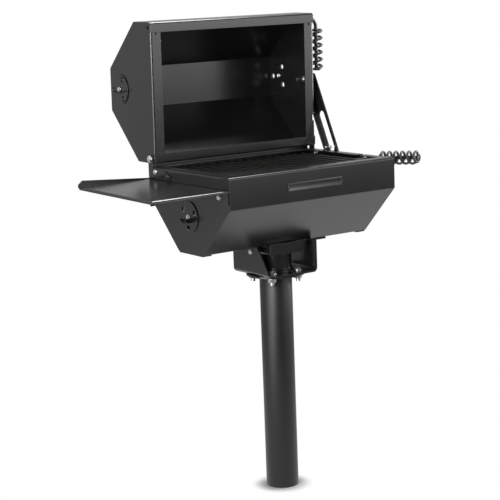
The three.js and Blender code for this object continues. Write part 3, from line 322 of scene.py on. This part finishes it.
def add_bump(nodes, links, shader, height, strength, distance):
    """Turns a height into the shader's normal."""
    bump = nodes.new("ShaderNodeBump")
    bump.inputs["Strength"].default_value = strength
    bump.inputs["Distance"].default_value = distance
    links.new(height, bump.inputs["Height"])
    links.new(bump.outputs["Normal"], shader.inputs["Normal"])


def coated(
    name,
    dark,
    light,
    rough,
    grain_depth=COAT_GRAIN_DEPTH,
    grain_scale=COAT_GRAIN_SCALE,
    # edge: the share of the painted highlight at the edges
    edge=0.35,
    highlight_tone=(0.16, 0.16, 0.17),
    ior=1.56,
):
    """Powder coat or paint over steel: two slow tones, lightened towards the highlight tone at its edges
    as a painted highlight.
    """
    material, nodes, links, output = new_material(name)
    shader = nodes.new("ShaderNodeBsdfPrincipled")
    shader.inputs["IOR"].default_value = ior
    grain = add_group(nodes, coat_grain, Grain_Scale=grain_scale)
    highlight_mask = add_group(nodes, painted_edge_highlight)
    body = two_tones(nodes, links, grain.outputs["Tone"], dark, light)
    highlight_share = between(nodes, links, highlight_mask.outputs["Mask"], 0, edge)
    highlighted = two_tones(nodes, links, highlight_share, dark, highlight_tone)
    links.new(body, highlighted.node.inputs[MIX_LOW])
    links.new(highlighted, shader.inputs["Base Color"])
    links.new(between(nodes, links, grain.outputs["Tone"], *rough), shader.inputs["Roughness"])
    add_bump(nodes, links, shader, grain.outputs["Height"], COAT_BUMP, grain_depth)
    links.new(shader.outputs["BSDF"], output.inputs["Surface"])
    return material


powder_coat = coated("powder_coat", (0.004, 0.004, 0.0045), (0.007, 0.007, 0.0076), (0.21, 0.27))
finish_of_slot = {"powder_coat": powder_coat}
slot_of_node = {part["node"]: part["material_slot"] for part in frame["record"]["subparts"]}
body_of_node = {
    node: body
    for body, nodes in frame["record"]["behaviour"]["bodies"].items()
    for node in nodes
}


# The folded sheets: cut, folded on a press brake, and their edges taken off before the coat goes on.
# Each is a copy of its CAD node with the flat faces made whole and every sharp edge broken
SHEET_EDGE = 0.0005
SHEET_SHARP = radians(35)
SAME_POINT = 0.00002
SAME_PLANE = radians(0.5)


def show_alone(piece):
    """Makes a piece the only selected one, and the active one."""
    bpy.ops.object.select_all(action="DESELECT")
    piece.select_set(True)
    bpy.context.view_layer.objects.active = piece


def finished(piece, node, material=None):
    """Puts a piece in the place of its CAD node: finish, body, slot and the node it stands for."""
    piece.data.materials.clear()
    piece.data.materials.append(material or finish_of_slot[slot_of_node[node]])
    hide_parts(node)
    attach(piece, body_of_node[node])


def edges_off(piece, width, segments=2, sharp=radians(40)):
    """Takes off the edges of the active piece that turn by more than the sharp angle."""
    edge = piece.modifiers.new("edge", "BEVEL")
    edge.width = width
    edge.segments = segments
    edge.limit_method = "ANGLE"
    edge.angle_limit = sharp
    bpy.ops.object.modifier_apply(modifier=edge.name)


def flat_copy(node, name):
    """A copy of a CAD node whose flat faces are whole again, as the active object."""
    piece = bpy.data.objects.new(name, frame["nodes"][node].data.copy())
    bpy.context.scene.collection.objects.link(piece)
    show_alone(piece)
    bpy.ops.object.mode_set(mode="EDIT")
    bpy.ops.mesh.select_all(action="SELECT")
    bpy.ops.mesh.remove_doubles(threshold=SAME_POINT)
    bpy.ops.mesh.dissolve_limited(angle_limit=SAME_PLANE)
    bpy.ops.object.mode_set(mode="OBJECT")
    return piece


def soft_edges(piece, node, width=SHEET_EDGE):
    """Breaks a piece's sharp edges, keeps its faces flat, and puts it in its node's place."""
    edges_off(piece, width, sharp=SHEET_SHARP)
    bpy.ops.object.shade_smooth_by_angle(angle=SHEET_SHARP)
    flat = piece.modifiers.new("flat_faces", "WEIGHTED_NORMAL")
    flat.keep_sharp = True
    bpy.ops.object.modifier_apply(modifier=flat.name)
    finished(piece, node)


for sheet_node in (
    "firebox_shell",
    "firebox_end_left",
    "firebox_end_right",
    "lid_shell",
    "lid_end_left",
    "lid_end_right",
    "support_arm",
    "hinge_plate_left",
    "hinge_plate_right",
    "arm_pin_ear",
    "lid_stop_strip",
    "cradle",
    "ash_drawer",
    "drawer_rail_left",
    "drawer_rail_right",
    "damper_firebox_left",
    "damper_firebox_right",
    "damper_lid_left",
    "damper_lid_right",
    "grate_bush_left",
    "grate_bush_right",
    "grate_rest_left",
    "grate_rest_right",
):
    soft_edges(flat_copy(sheet_node, sheet_node + "_sheet"), sheet_node)


# The side shelf: a tray of the same sheet, folded over to its front and outer lips. The front bend opens
# out towards the outer corner, and catches the light from above
SHELF_BEND_FAR = 0.0085  # at the outer corner
SHELF_BEND_NEAR = 0.0035  # at the wall, and along the outer lip
SHELF_BEND_STEPS = 8
SHELF_BEND_SEGMENTS = 6
SHELF_OUTER_BAND = 0.016  # holds the whole outer edge, which runs out by 14 mm from rear to front
shelf_low, shelf_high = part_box("side_shelf")
shelf_piece = flat_copy("side_shelf", "side_shelf_sheet")
shelf_mesh = shelf_piece.data
shelf_front = shelf_low.y + SHEET_EDGE
shelf_level = max(vertex.co.z for vertex in shelf_mesh.vertices if vertex.co.y < shelf_front)


def top_edge_along(edge, side):
    """Whether an edge of the shelf's flat top runs along its front or its outside."""
    ends = [shelf_mesh.vertices[index].co for index in edge.vertices]
    if any(abs(end.z - shelf_level) >= SHEET_EDGE for end in ends):
        return False
    if side == "front":
        return all(end.y < shelf_front for end in ends)
    return all(end.x < shelf_low.x + SHELF_OUTER_BAND for end in ends)


def shelf_bend(edge):
    """The front bend's size at an edge's middle."""
    middle = sum(shelf_mesh.vertices[index].co.x for index in edge.vertices) / 2
    towards_wall = (middle - shelf_low.x) / (shelf_high.x - shelf_low.x)
    return SHELF_BEND_FAR + (SHELF_BEND_NEAR - SHELF_BEND_FAR) * towards_wall


bpy.ops.object.mode_set(mode="EDIT")
bpy.ops.mesh.select_mode(type="EDGE")
bpy.ops.mesh.select_all(action="DESELECT")
bpy.ops.object.mode_set(mode="OBJECT")
for edge in shelf_mesh.edges:
    edge.select = top_edge_along(edge, "front")
bpy.ops.object.mode_set(mode="EDIT")
bpy.ops.mesh.subdivide(number_cuts=SHELF_BEND_STEPS - 1)
bpy.ops.object.mode_set(mode="OBJECT")
bend_share = shelf_mesh.attributes.new("bevel_weight_edge", "FLOAT", "EDGE")
for edge in shelf_mesh.edges:
    if top_edge_along(edge, "front"):
        bend_share.data[edge.index].value = shelf_bend(edge) / SHELF_BEND_FAR
    elif top_edge_along(edge, "outside"):
        bend_share.data[edge.index].value = SHELF_BEND_NEAR / SHELF_BEND_FAR
shelf_bends = shelf_piece.modifiers.new("bends", "BEVEL")
shelf_bends.width = SHELF_BEND_FAR
shelf_bends.segments = SHELF_BEND_SEGMENTS
shelf_bends.limit_method = "WEIGHT"
shelf_bends.use_clamp_overlap = False
bpy.ops.object.modifier_apply(modifier=shelf_bends.name)
soft_edges(shelf_piece, "side_shelf")


# The post: three-inch pipe with a four millimetre wall, cut square at both ends and set in the ground
# at its foot. It is painted, in a duller black than the baked sheets
POST_WALL = 0.004
POST_RIM = 0.0008
POST_SIDES = 96
post_paint = coated("post_paint", (0.004, 0.004, 0.004), (0.007, 0.007, 0.007), (0.38, 0.44), ior=1.42)
post_low, post_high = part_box("post")
bpy.ops.object.select_all(action="DESELECT")
bpy.ops.mesh.primitive_cylinder_add(
    vertices=POST_SIDES,
    radius=post_high.x,
    depth=post_high.z - post_low.z,
    end_fill_type="NOTHING",
    location=(0, 0, (post_low.z + post_high.z) / 2),
)
post_tube = bpy.context.object
post_tube.name = "post_tube"
bpy.ops.object.transform_apply(location=True, rotation=True, scale=True)
wall = post_tube.modifiers.new("wall", "SOLIDIFY")
wall.thickness = POST_WALL
wall.offset = -1
bpy.ops.object.modifier_apply(modifier=wall.name)
edges_off(post_tube, POST_RIM)
bpy.ops.object.shade_smooth_by_angle(angle=SHEET_SHARP)
finished(post_tube, "post", post_paint)


# The swivel: a turned stub that drops into the post, with the disc that rests on the post's top and
# the hub that the cradle is welded round
SEAT_GAP = 0.0003
RUN_CLEARANCE = 0.0005
HUB_WALL = 0.008
DISC = 0.006
DISC_CHAMFER = 0.0008
TURNED_STEPS = 96
TURNED_SHARP = radians(30)
SAME_TURNED_POINT = 0.000005


def spun(name, profile):
    """A closed profile of (radius, height) corners turned once round the post's axis."""
    mesh = bpy.data.meshes.new(name)
    count = len(profile)
    mesh.from_pydata(
        [(radius, 0, height) for radius, height in profile],
        [(index, (index + 1) % count) for index in range(count)],
        [],
    )
    piece = bpy.data.objects.new(name, mesh)
    bpy.context.scene.collection.objects.link(piece)
    show_alone(piece)
    bpy.ops.object.mode_set(mode="EDIT")
    bpy.ops.mesh.select_all(action="SELECT")
    bpy.ops.mesh.spin(steps=TURNED_STEPS, angle=2 * pi, center=(0, 0, 0), axis=(0, 0, 1))
    bpy.ops.mesh.select_all(action="SELECT")
    bpy.ops.mesh.remove_doubles(threshold=SAME_TURNED_POINT)
    bpy.ops.mesh.normals_make_consistent(inside=False)
    bpy.ops.object.mode_set(mode="OBJECT")
    return piece


swivel_low, swivel_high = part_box("swivel_flange")
hub_radius = post_high.x
stub_radius = hub_radius - POST_WALL - RUN_CLEARANCE
bore_radius = stub_radius - HUB_WALL
disc_radius = swivel_high.x
disc_foot = post_high.z + SEAT_GAP
disc_top = disc_foot + DISC
swivel_hub = spun(
    "swivel_hub",
    [
        (bore_radius, swivel_low.z),
        (stub_radius, swivel_low.z),
        (stub_radius, disc_foot),
        (disc_radius - DISC_CHAMFER, disc_foot),
        (disc_radius, disc_foot + DISC_CHAMFER),
        (disc_radius, disc_top - DISC_CHAMFER),
        (disc_radius - DISC_CHAMFER, disc_top),
        (hub_radius, disc_top),
        (hub_radius, swivel_high.z - DISC_CHAMFER),
        (hub_radius - DISC_CHAMFER, swivel_high.z),
        (bore_radius, swivel_high.z),
    ],
)
bpy.ops.object.shade_smooth_by_angle(angle=TURNED_SHARP)
finished(swivel_hub, "swivel_flange")


# The hub's weld: a bead laid all round where the cradle's plate meets the hub, and coated with them.
# It swells and shrinks along its length as the torch was moved
CRADLE_PLATE = 0.005
HUB_BEAD = 0.0028
HUB_BEAD_OUT = 0.0018
HUB_BEAD_RISE = 0.0012
HUB_BEAD_POINTS = 120
BEAD_SIDES = 8
BEAD_RIPPLE = (0.86, 1.14)
BAR_SHARP = radians(50)


def along_line(name, points, radius, sides, closed=False, swells=None):
    """A round bar of a radius along points, as a mesh, swelling by a share at each point if told."""
    curve = bpy.data.curves.new(name, "CURVE")
    curve.dimensions = "3D"
    curve.bevel_depth = radius
    curve.bevel_resolution = (sides - 4) // 2
    curve.use_fill_caps = True
    line = curve.splines.new("POLY")
    line.points.add(len(points) - 1)
    for index, point in enumerate(points):
        line.points[index].co = (*point, 1)
        if swells:
            line.points[index].radius = swells[index]
    line.use_cyclic_u = closed
    piece = bpy.data.objects.new(name, curve)
    bpy.context.scene.collection.objects.link(piece)
    show_alone(piece)
    bpy.ops.object.convert(target="MESH")
    piece = bpy.context.object
    bpy.ops.object.shade_smooth_by_angle(angle=BAR_SHARP)
    return piece


def ring_points(centre, radius, axis, count):
    """Points of a circle about an axis."""
    across = Vector(axis).orthogonal().normalized()
    return [
        Vector(centre) + Matrix.Rotation(2 * pi * index / count, 3, Vector(axis)) @ (across * radius)
        for index in range(count)
    ]


def ring_weld(name, points, radius, body):
    """A closed bead of weld that rides on a body: its ripples are one to each two points."""
    ripples = [BEAD_RIPPLE[index % 2] for index in range(len(points))]
    bead = along_line(name, points, radius, BEAD_SIDES, True, ripples)
    bead.data.materials.append(powder_coat)
    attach(bead, body)


cradle_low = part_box("cradle")[0]
hub_weld_middle = (0, 0, cradle_low.z + CRADLE_PLATE + HUB_BEAD_RISE)
hub_weld_points = ring_points(hub_weld_middle, hub_radius + HUB_BEAD_OUT, (0, 0, 1), HUB_BEAD_POINTS)
ring_weld("hub_weld", hub_weld_points, HUB_BEAD, "head")


# Bolts: zinc plated hexagon heads on flat washers, nuts inside. A head's corners are chamfered, and
# each bolt stands where its CAD node stands. The front bolt of each hinge plate was coated over
FLANGE_BOLTS = 4
FLANGE_BOLT = {
    "across": 0.019,
    "head": 0.0075,
    "nut": 0.0115,
    "shank": 0.012,
    "washer": 0.0018,
    "end": 0.008,
}
SMALL_BOLT = {
    "across": 0.011,
    "head": 0.004,
    "nut": 0.005,
    "shank": 0.006,
    "washer": 0.001,
    "end": 0.0025,
}
HINGE_PIN = {
    "across": 0.016,
    "head": 0.005,
    "nut": 0.005,
    "shank": 0.012,
    "washer": 0.0012,
    "end": 0.0025,
}
HEAD_CHAMFER = 0.0007
NUT_CHAMFER = 0.0006
WASHER_CHAMFER = 0.0002
CHAMFERED_SHARE = 0.86  # what a chamfer leaves of a hexagon's width
WASHER_SHARE = 0.62  # a washer's radius, of its hexagon's width across the flats
WASHER_SIDES = 32
SHANK_SIDES = 24
BOLT_SHARP = radians(30)
TURNED_EDGE = 0.0006
ALIKE = 0.9  # least cosine between directions that count as one
ZINC_GRAIN_SCALE = 1400
ZINC_TONE_SCALE = 160
ZINC_BUMP = 0.5


def plated(name, dark, light, rough, grain_depth):
    """Plated steel: bright where it is smooth, dull in its stains."""
    material, nodes, links, output = new_material(name)
    shader = nodes.new("ShaderNodeBsdfPrincipled")
    shader.inputs["Metallic"].default_value = 1
    grain = add_group(nodes, coat_grain, Grain_Scale=ZINC_GRAIN_SCALE, Tone_Scale=ZINC_TONE_SCALE)
    tone = grain.outputs["Tone"]
    links.new(two_tones(nodes, links, tone, dark, light), shader.inputs["Base Color"])
    links.new(between(nodes, links, tone, rough[1], rough[0]), shader.inputs["Roughness"])
    add_bump(nodes, links, shader, grain.outputs["Height"], ZINC_BUMP, grain_depth)
    links.new(shader.outputs["BSDF"], output.inputs["Surface"])
    return material


finish_of_slot["zinc"] = plated("zinc_plate", (0.55, 0.56, 0.58), (0.84, 0.85, 0.87), (0.2, 0.36), 0.00004)


def faces_towards(piece, direction):
    """Selects the faces that look in a direction, and leaves the piece in edit mode."""
    bpy.ops.object.mode_set(mode="EDIT")
    bpy.ops.mesh.select_mode(type="FACE")
    bpy.ops.mesh.select_all(action="DESELECT")
    bpy.ops.object.mode_set(mode="OBJECT")
    for face in piece.data.polygons:
        face.select = face.normal.dot(direction) > ALIKE
    bpy.ops.object.mode_set(mode="EDIT")


def upright_round(low, high, radius, sides):
    """A cylinder along Z, or with six sides a hexagon, as a new active object."""
    bpy.ops.object.select_all(action="DESELECT")
    bpy.ops.mesh.primitive_cylinder_add(
        vertices=sides, radius=radius, depth=high - low, location=(0, 0, (low + high) / 2)
    )
    piece = bpy.context.object
    bpy.ops.object.transform_apply(location=True, rotation=True, scale=True)
    return piece


def hexagon(low, high, across, chamfer):
    """A hexagon along Z whose two ends are chamfered."""
    piece = upright_round(low + chamfer, high - chamfer, across / sqrt(3), 6)
    for up in (Vector((0, 0, 1)), Vector((0, 0, -1))):
        faces_towards(piece, up)
        bpy.ops.mesh.extrude_region_move(TRANSFORM_OT_translate={"value": up * chamfer})
        bpy.ops.transform.resize(value=(CHAMFERED_SHARE, CHAMFERED_SHARE, 1))
        bpy.ops.object.mode_set(mode="OBJECT")
    return piece


def round_part(low, high, radius, chamfer, sides):
    """A round length of a bolt, or its washer, with its end edges chamfered."""
    piece = upright_round(low, high, radius, sides)
    edges_off(piece, chamfer, segments=1)
    return piece


def joined_as(name, parts):
    """Joins parts into the first of them."""
    bpy.ops.object.select_all(action="DESELECT")
    for part in parts:
        part.select_set(True)
    bpy.context.view_layer.objects.active = parts[0]
    bpy.ops.object.join()
    parts[0].name = name
    parts[0].data.name = name
    return parts[0]


def turned_to(direction):
    """The turn that brings +Z to a direction."""
    return Vector((0, 0, 1)).rotation_difference(direction).to_matrix().to_4x4()


def bolt(node, outward, across, head, nut, shank, washer, end, material=None):
    """One bolt with its head pointing outward, fitted to its CAD node's box."""
    low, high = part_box(node)
    outward = Vector(outward)
    middle = (low + high) / 2
    half = abs((high - low).dot(outward)) / 2
    tail = 2 * half - head
    nut_foot = -tail + end
    nut_top = nut_foot + nut - washer
    washer_radius = WASHER_SHARE * across
    parts = [
        hexagon(washer, head, across, HEAD_CHAMFER),
        round_part(0, washer, washer_radius, WASHER_CHAMFER, WASHER_SIDES),
        round_part(-tail, head / 2, shank / 2, NUT_CHAMFER, SHANK_SIDES),
        hexagon(nut_foot, nut_top, across, NUT_CHAMFER),
        round_part(nut_top, nut_top + washer, washer_radius, WASHER_CHAMFER, WASHER_SIDES),
    ]
    piece = joined_as(node + "_zinc", parts)
    place = Matrix.Translation(middle + outward * (half - head))
    piece.data.transform(place @ turned_to(outward))
    bpy.ops.object.shade_smooth_by_angle(angle=BOLT_SHARP)
    finished(piece, node, material)


for number in range(1, FLANGE_BOLTS + 1):
    bolt(f"flange_bolt_{number}", (0, 0, 1), **FLANGE_BOLT)
for node in frame["nodes"]:
    side = -1 if "left" in node else 1
    if node.startswith(("cradle_bolt", "hinge_bolt", "shelf_bolt", "damper_bolt")):
        coated_over = powder_coat if node.startswith("hinge_bolt") and node.endswith("_2") else None
        bolt(node, (side, 0, 0), material=coated_over, **SMALL_BOLT)
    if node.startswith("hinge_pin"):
        bolt(node, (side, 0, 0), **HINGE_PIN)
for node in ("arm_slide_pin", "arm_pivot_bolt"):
    soft_edges(flat_copy(node, node + "_turned"), node, TURNED_EDGE)


# The handles: a bent round bar carries each coil grip. The grip is spring wire wound open, so that it
# stays cool, and its end turns close down on the bar. The bars are coated as the grates are
LID_OPEN = radians(-89)  # from closed, about +X
HINGE = Vector((0, 0.175, 0.922))
BAR_RADIUS = 0.00525
BAR_BEND = 0.022
BAR_BEND_STEPS = 8
BAR_SIDES = 24
WIRE_RADIUS = 0.0035
WIRE_SIDES = 14
COIL_RADIUS = 0.016
COIL_TURNS = 5.5
COIL_STEPS = 28
CLOSING_TURNS = 0.8
CLOSING_RUN = 0.45  # turns in which the wire comes down to the bar
FIREBOX_HALF = 0.271
HANDLE_STANDOFF = 0.029
grate_steel = coated(
    "grate_steel",
    (0.005, 0.005, 0.005),
    (0.011, 0.010, 0.009),
    (0.24, 0.34),
    grain_depth=0.0001,
    grain_scale=420,
    # Its edges take more of the painted highlight than the coat's
    edge=0.5,
)
spring_coat = coated(
    "spring_coat",
    (0.004, 0.004, 0.004),
    (0.008, 0.008, 0.008),
    (0.50, 0.62),
    grain_depth=0.00006,
    # Its edges take only a little of the painted highlight
    edge=0.1,
)
finish_of_slot["bar_steel"] = grate_steel
finish_of_slot["wire"] = spring_coat


def bent_line(corners, bend):
    """Straight stretches between corners, each inner corner rounded to an arc of the bend's radius."""
    points = [Vector(corners[0])]
    for index in range(1, len(corners) - 1):
        corner = Vector(corners[index])
        before = (Vector(corners[index - 1]) - corner).normalized()
        after = (Vector(corners[index + 1]) - corner).normalized()
        half = before.angle(after) / 2
        trim = bend / tan(half)
        middle = corner + (before + after).normalized() * (bend / sin(half))
        start = corner + before * trim - middle
        turn = before.cross(after).normalized()
        for step in range(BAR_BEND_STEPS + 1):
            angle = -(pi - 2 * half) * step / BAR_BEND_STEPS
            points.append(middle + Matrix.Rotation(angle, 3, turn) @ start)
    points.append(Vector(corners[-1]))
    return points


def coil_grip(node, start, direction, length):
    """Wire wound round a bar from start, its first and last turn narrowing to the bar."""
    narrow = BAR_RADIUS + WIRE_RADIUS + SEAT_GAP
    pitch = (length - 2 * WIRE_RADIUS) / COIL_TURNS
    first = -int(CLOSING_TURNS * COIL_STEPS)
    last = int((COIL_TURNS + CLOSING_TURNS) * COIL_STEPS)
    points = []
    for index in range(first, last + 1):
        turns = index / COIL_STEPS
        outside = max(-turns, turns - COIL_TURNS, 0)
        closed_in = min(outside / CLOSING_RUN, 1)
        eased = closed_in * closed_in * (3 - 2 * closed_in)
        radius = COIL_RADIUS + (narrow - COIL_RADIUS) * eased
        height = WIRE_RADIUS + min(max(turns, 0), COIL_TURNS) * pitch
        angle = 2 * pi * turns
        points.append((radius * cos(angle), radius * sin(angle), height))
    piece = along_line(node + "_wire", points, WIRE_RADIUS, WIRE_SIDES)
    piece.data.transform(Matrix.Translation(start) @ turned_to(direction))
    finished(piece, node)


# The lid's handle is placed on the closed lid, and turns open with it
LID_HANDLE_Y = -0.170
LID_HANDLE_END = -0.023
LID_HANDLE_LEVEL = 0.929
LID_COIL_START = 0.029
LID_COIL_LENGTH = 0.118
HANDLE_BEAD = 0.0019
HANDLE_BEAD_OUT = 0.0008
HANDLE_BEAD_RISE = 0.0016
HANDLE_BEAD_POINTS = 24
opened = Matrix.Translation(HINGE) @ Matrix.Rotation(LID_OPEN, 4, "X") @ Matrix.Translation(-HINGE)
lid_bar = [
    opened @ Vector(corner)
    for corner in (
        (FIREBOX_HALF + SEAT_GAP, LID_HANDLE_Y, LID_HANDLE_LEVEL),
        (FIREBOX_HALF + HANDLE_STANDOFF, LID_HANDLE_Y, LID_HANDLE_LEVEL),
        (FIREBOX_HALF + HANDLE_STANDOFF, LID_HANDLE_END, LID_HANDLE_LEVEL),
    )
]
lid_grip = (lid_bar[2] - lid_bar[1]).normalized()
lid_handle_bar = along_line("lid_handle_bar", bent_line(lid_bar, BAR_BEND), BAR_RADIUS, BAR_SIDES)
finished(lid_handle_bar, "lid_handle_rod")
coil_grip("lid_coil", lid_bar[1] + lid_grip * LID_COIL_START, lid_grip, LID_COIL_LENGTH)
lid_weld_middle = lid_bar[0] + Vector((HANDLE_BEAD_RISE, 0, 0))
lid_weld_points = ring_points(
    lid_weld_middle, BAR_RADIUS + HANDLE_BEAD_OUT, (1, 0, 0), HANDLE_BEAD_POINTS
)
ring_weld("lid_handle_weld", lid_weld_points, HANDLE_BEAD, "lid")

# The grate's handle comes out through the slot in the right end, splays outwards and lifts
GRATE_LEVEL = 0.88665  # of its bars' axes
GRATE_HANDLE_Y = -0.069
GRATE_EDGE = 0.2289  # where the handle's bar meets the grate's last bar
GRATE_COIL_LENGTH = 0.130
SPLAY = radians(12)
LIFT = radians(3.5)
grate_grip = Vector((sin(SPLAY) * cos(LIFT), -cos(SPLAY) * cos(LIFT), sin(LIFT)))
grate_corner = Vector((FIREBOX_HALF + HANDLE_STANDOFF, GRATE_HANDLE_Y, GRATE_LEVEL))
grate_bar = [
    Vector((GRATE_EDGE, GRATE_HANDLE_Y, GRATE_LEVEL)),
    grate_corner,
    grate_corner + grate_grip * (BAR_BEND + GRATE_COIL_LENGTH),
]
grate_handle_bar = along_line(
    "grate_handle_bar", bent_line(grate_bar, BAR_BEND), BAR_RADIUS, BAR_SIDES
)
finished(grate_handle_bar, "grate_handle_rod")
coil_grip("grate_coil", grate_corner + grate_grip * BAR_BEND, grate_grip, GRATE_COIL_LENGTH)


# The cooking grate: half-inch round bars welded on a flat cross bar at the front and on a round bar at
# the rear that turns in two bushes. The charcoal grate below it lies loose on the firebox's slopes
COOKING_BAR = 0.00635
COOKING_BARS = 15
COOKING_PITCH = 0.03175
CROSS_BAR_Y = -0.120
CROSS_BAR_REACH = 0.2395  # from its middle to each end
CROSS_BAR_DEPTH = 0.022
PIVOT_Y = 0.112
PIVOT_Z = 0.87545
PIVOT_REACH = 0.267  # from its middle to each end
CROSS_BAR_HALF = 0.003  # of its thickness
FLAT_BAR_EDGE = 0.0006
ROUND_BAR_SIDES = 20
# Shares of a bar's radius: its end edges, a weld spot's reach to each side and its thickness, which
# swells from end to middle to end
END_EDGE_SHARE = 0.14
WELD_SPREAD_SHARE = 0.8
WELD_RADIUS_SHARE = 0.55
WELD_SWELL_SHARES = (0.7, 1.2, 0.7)


def round_bar(name, start, end, radius):
    """A straight round bar with its end edges taken off."""
    start, end = Vector(start), Vector(end)
    half = (end - start).length / 2
    piece = upright_round(-half, half, radius, ROUND_BAR_SIDES)
    piece.name = name
    edges_off(piece, END_EDGE_SHARE * radius)
    piece.data.transform(Matrix.Translation((start + end) / 2) @ turned_to(end - start))
    return piece


def block(name, low, high):
    """A block between two corners, as a new active object."""
    low, high = Vector(low), Vector(high)
    bpy.ops.object.select_all(action="DESELECT")
    bpy.ops.mesh.primitive_cube_add(size=1, location=(low + high) / 2)
    piece = bpy.context.object
    piece.name = name
    piece.scale = high - low
    bpy.ops.object.transform_apply(location=True, rotation=True, scale=True)
    return piece


def flat_bar(name, low, high):
    """A flat bar between two corners with its edges taken off."""
    piece = block(name, low, high)
    edges_off(piece, FLAT_BAR_EDGE)
    return piece


def grate(node, name, radius, pitch, count, level, rails, crossings):
    """Like bars from front to back, welded to their rails at the (y, z) crossings."""
    low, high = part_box(node)
    first = -pitch * (count - 1) / 2
    bar = round_bar(name, (first, low.y, level), (first, high.y, level), radius)
    parts = [bar]
    for index in range(1, count):
        twin = bar.copy()
        twin.data = bar.data.copy()
        twin.data.transform(Matrix.Translation((index * pitch, 0, 0)))
        bpy.context.scene.collection.objects.link(twin)
        parts.append(twin)
    reach = WELD_SPREAD_SHARE * radius
    for y, z in crossings:
        for index in range(count):
            x = first + index * pitch
            points = [(x - reach, y, z), (x, y, z), (x + reach, y, z)]
            spot = along_line(
                name + "_spot", points, WELD_RADIUS_SHARE * radius, BEAD_SIDES, swells=WELD_SWELL_SHARES
            )
            parts.append(spot)
    piece = joined_as(name, parts + rails)
    bpy.ops.object.shade_smooth_by_angle(angle=SHEET_SHARP)
    finished(piece, node)


cross_bar = flat_bar(
    "cross_bar",
    (-CROSS_BAR_REACH, CROSS_BAR_Y - CROSS_BAR_HALF, GRATE_LEVEL - CROSS_BAR_DEPTH),
    (CROSS_BAR_REACH, CROSS_BAR_Y + CROSS_BAR_HALF, GRATE_LEVEL),
)
pivot_bar = round_bar(
    "pivot_bar", (-PIVOT_REACH, PIVOT_Y, PIVOT_Z), (PIVOT_REACH, PIVOT_Y, PIVOT_Z), COOKING_BAR
)
grate(
    "cooking_grate",
    "cooking_grate_bars",
    COOKING_BAR,
    COOKING_PITCH,
    COOKING_BARS,
    GRATE_LEVEL,
    [cross_bar, pivot_bar],
    [(rail_y, GRATE_LEVEL - COOKING_BAR) for rail_y in (CROSS_BAR_Y, PIVOT_Y)],
)

# The charcoal grate's two flats stand on edge under its bars
COAL_BAR = 0.00475
COAL_BARS = 15
COAL_PITCH = 0.033
COAL_FLAT_Y = 0.060
COAL_FLAT_HALF = 0.0025
coal_low, coal_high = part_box("charcoal_grate")
coal_level = coal_high.z - COAL_BAR
coal_flats = [
    flat_bar(
        "coal_flat",
        (coal_low.x, flat_y - COAL_FLAT_HALF, coal_low.z),
        (coal_high.x, flat_y + COAL_FLAT_HALF, coal_level),
    )
    for flat_y in (-COAL_FLAT_Y, COAL_FLAT_Y)
]
grate(
    "charcoal_grate",
    "charcoal_grate_bars",
    COAL_BAR,
    COAL_PITCH,
    COAL_BARS,
    coal_level,
    coal_flats,
    [(flat_y, coal_level - COAL_BAR) for flat_y in (-COAL_FLAT_Y, COAL_FLAT_Y)],
)


# The name plate: a thin pressed plate with a raised border, welded on before the coat. Its field is
# bare, and a painted highlight makes its border's edges brighter than the wall
PLATE_BORDER = 0.0032
PLATE_DEPTH = 0.0009
PLATE_EDGE = 0.0003
PLATE_SHARP = radians(40)
plate_coat = coated(
    "plate_coat",
    (0.003, 0.003, 0.003),
    (0.005, 0.005, 0.005),
    (0.34, 0.42),
    # A strong painted highlight along its edges
    edge=0.9,
    highlight_tone=(0.22, 0.22, 0.23),
)
name_plate = block("bare_name_plate", *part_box("name_plate"))
faces_towards(name_plate, Vector((0, -1, 0)))
bpy.ops.mesh.inset(thickness=PLATE_BORDER)
bpy.ops.mesh.extrude_region_move(TRANSFORM_OT_translate={"value": (0, PLATE_DEPTH, 0)})
bpy.ops.object.mode_set(mode="OBJECT")
edges_off(name_plate, PLATE_EDGE)
bpy.ops.object.shade_smooth_by_angle(angle=PLATE_SHARP)
finished(name_plate, "name_plate", plate_coat)


# The CAD solids that the pieces stand for: each has the finish of its slot
for node, cad_object in frame["nodes"].items():
    for material_slot in cad_object.material_slots:
        material_slot.material = finish_of_slot[slot_of_node[node]]
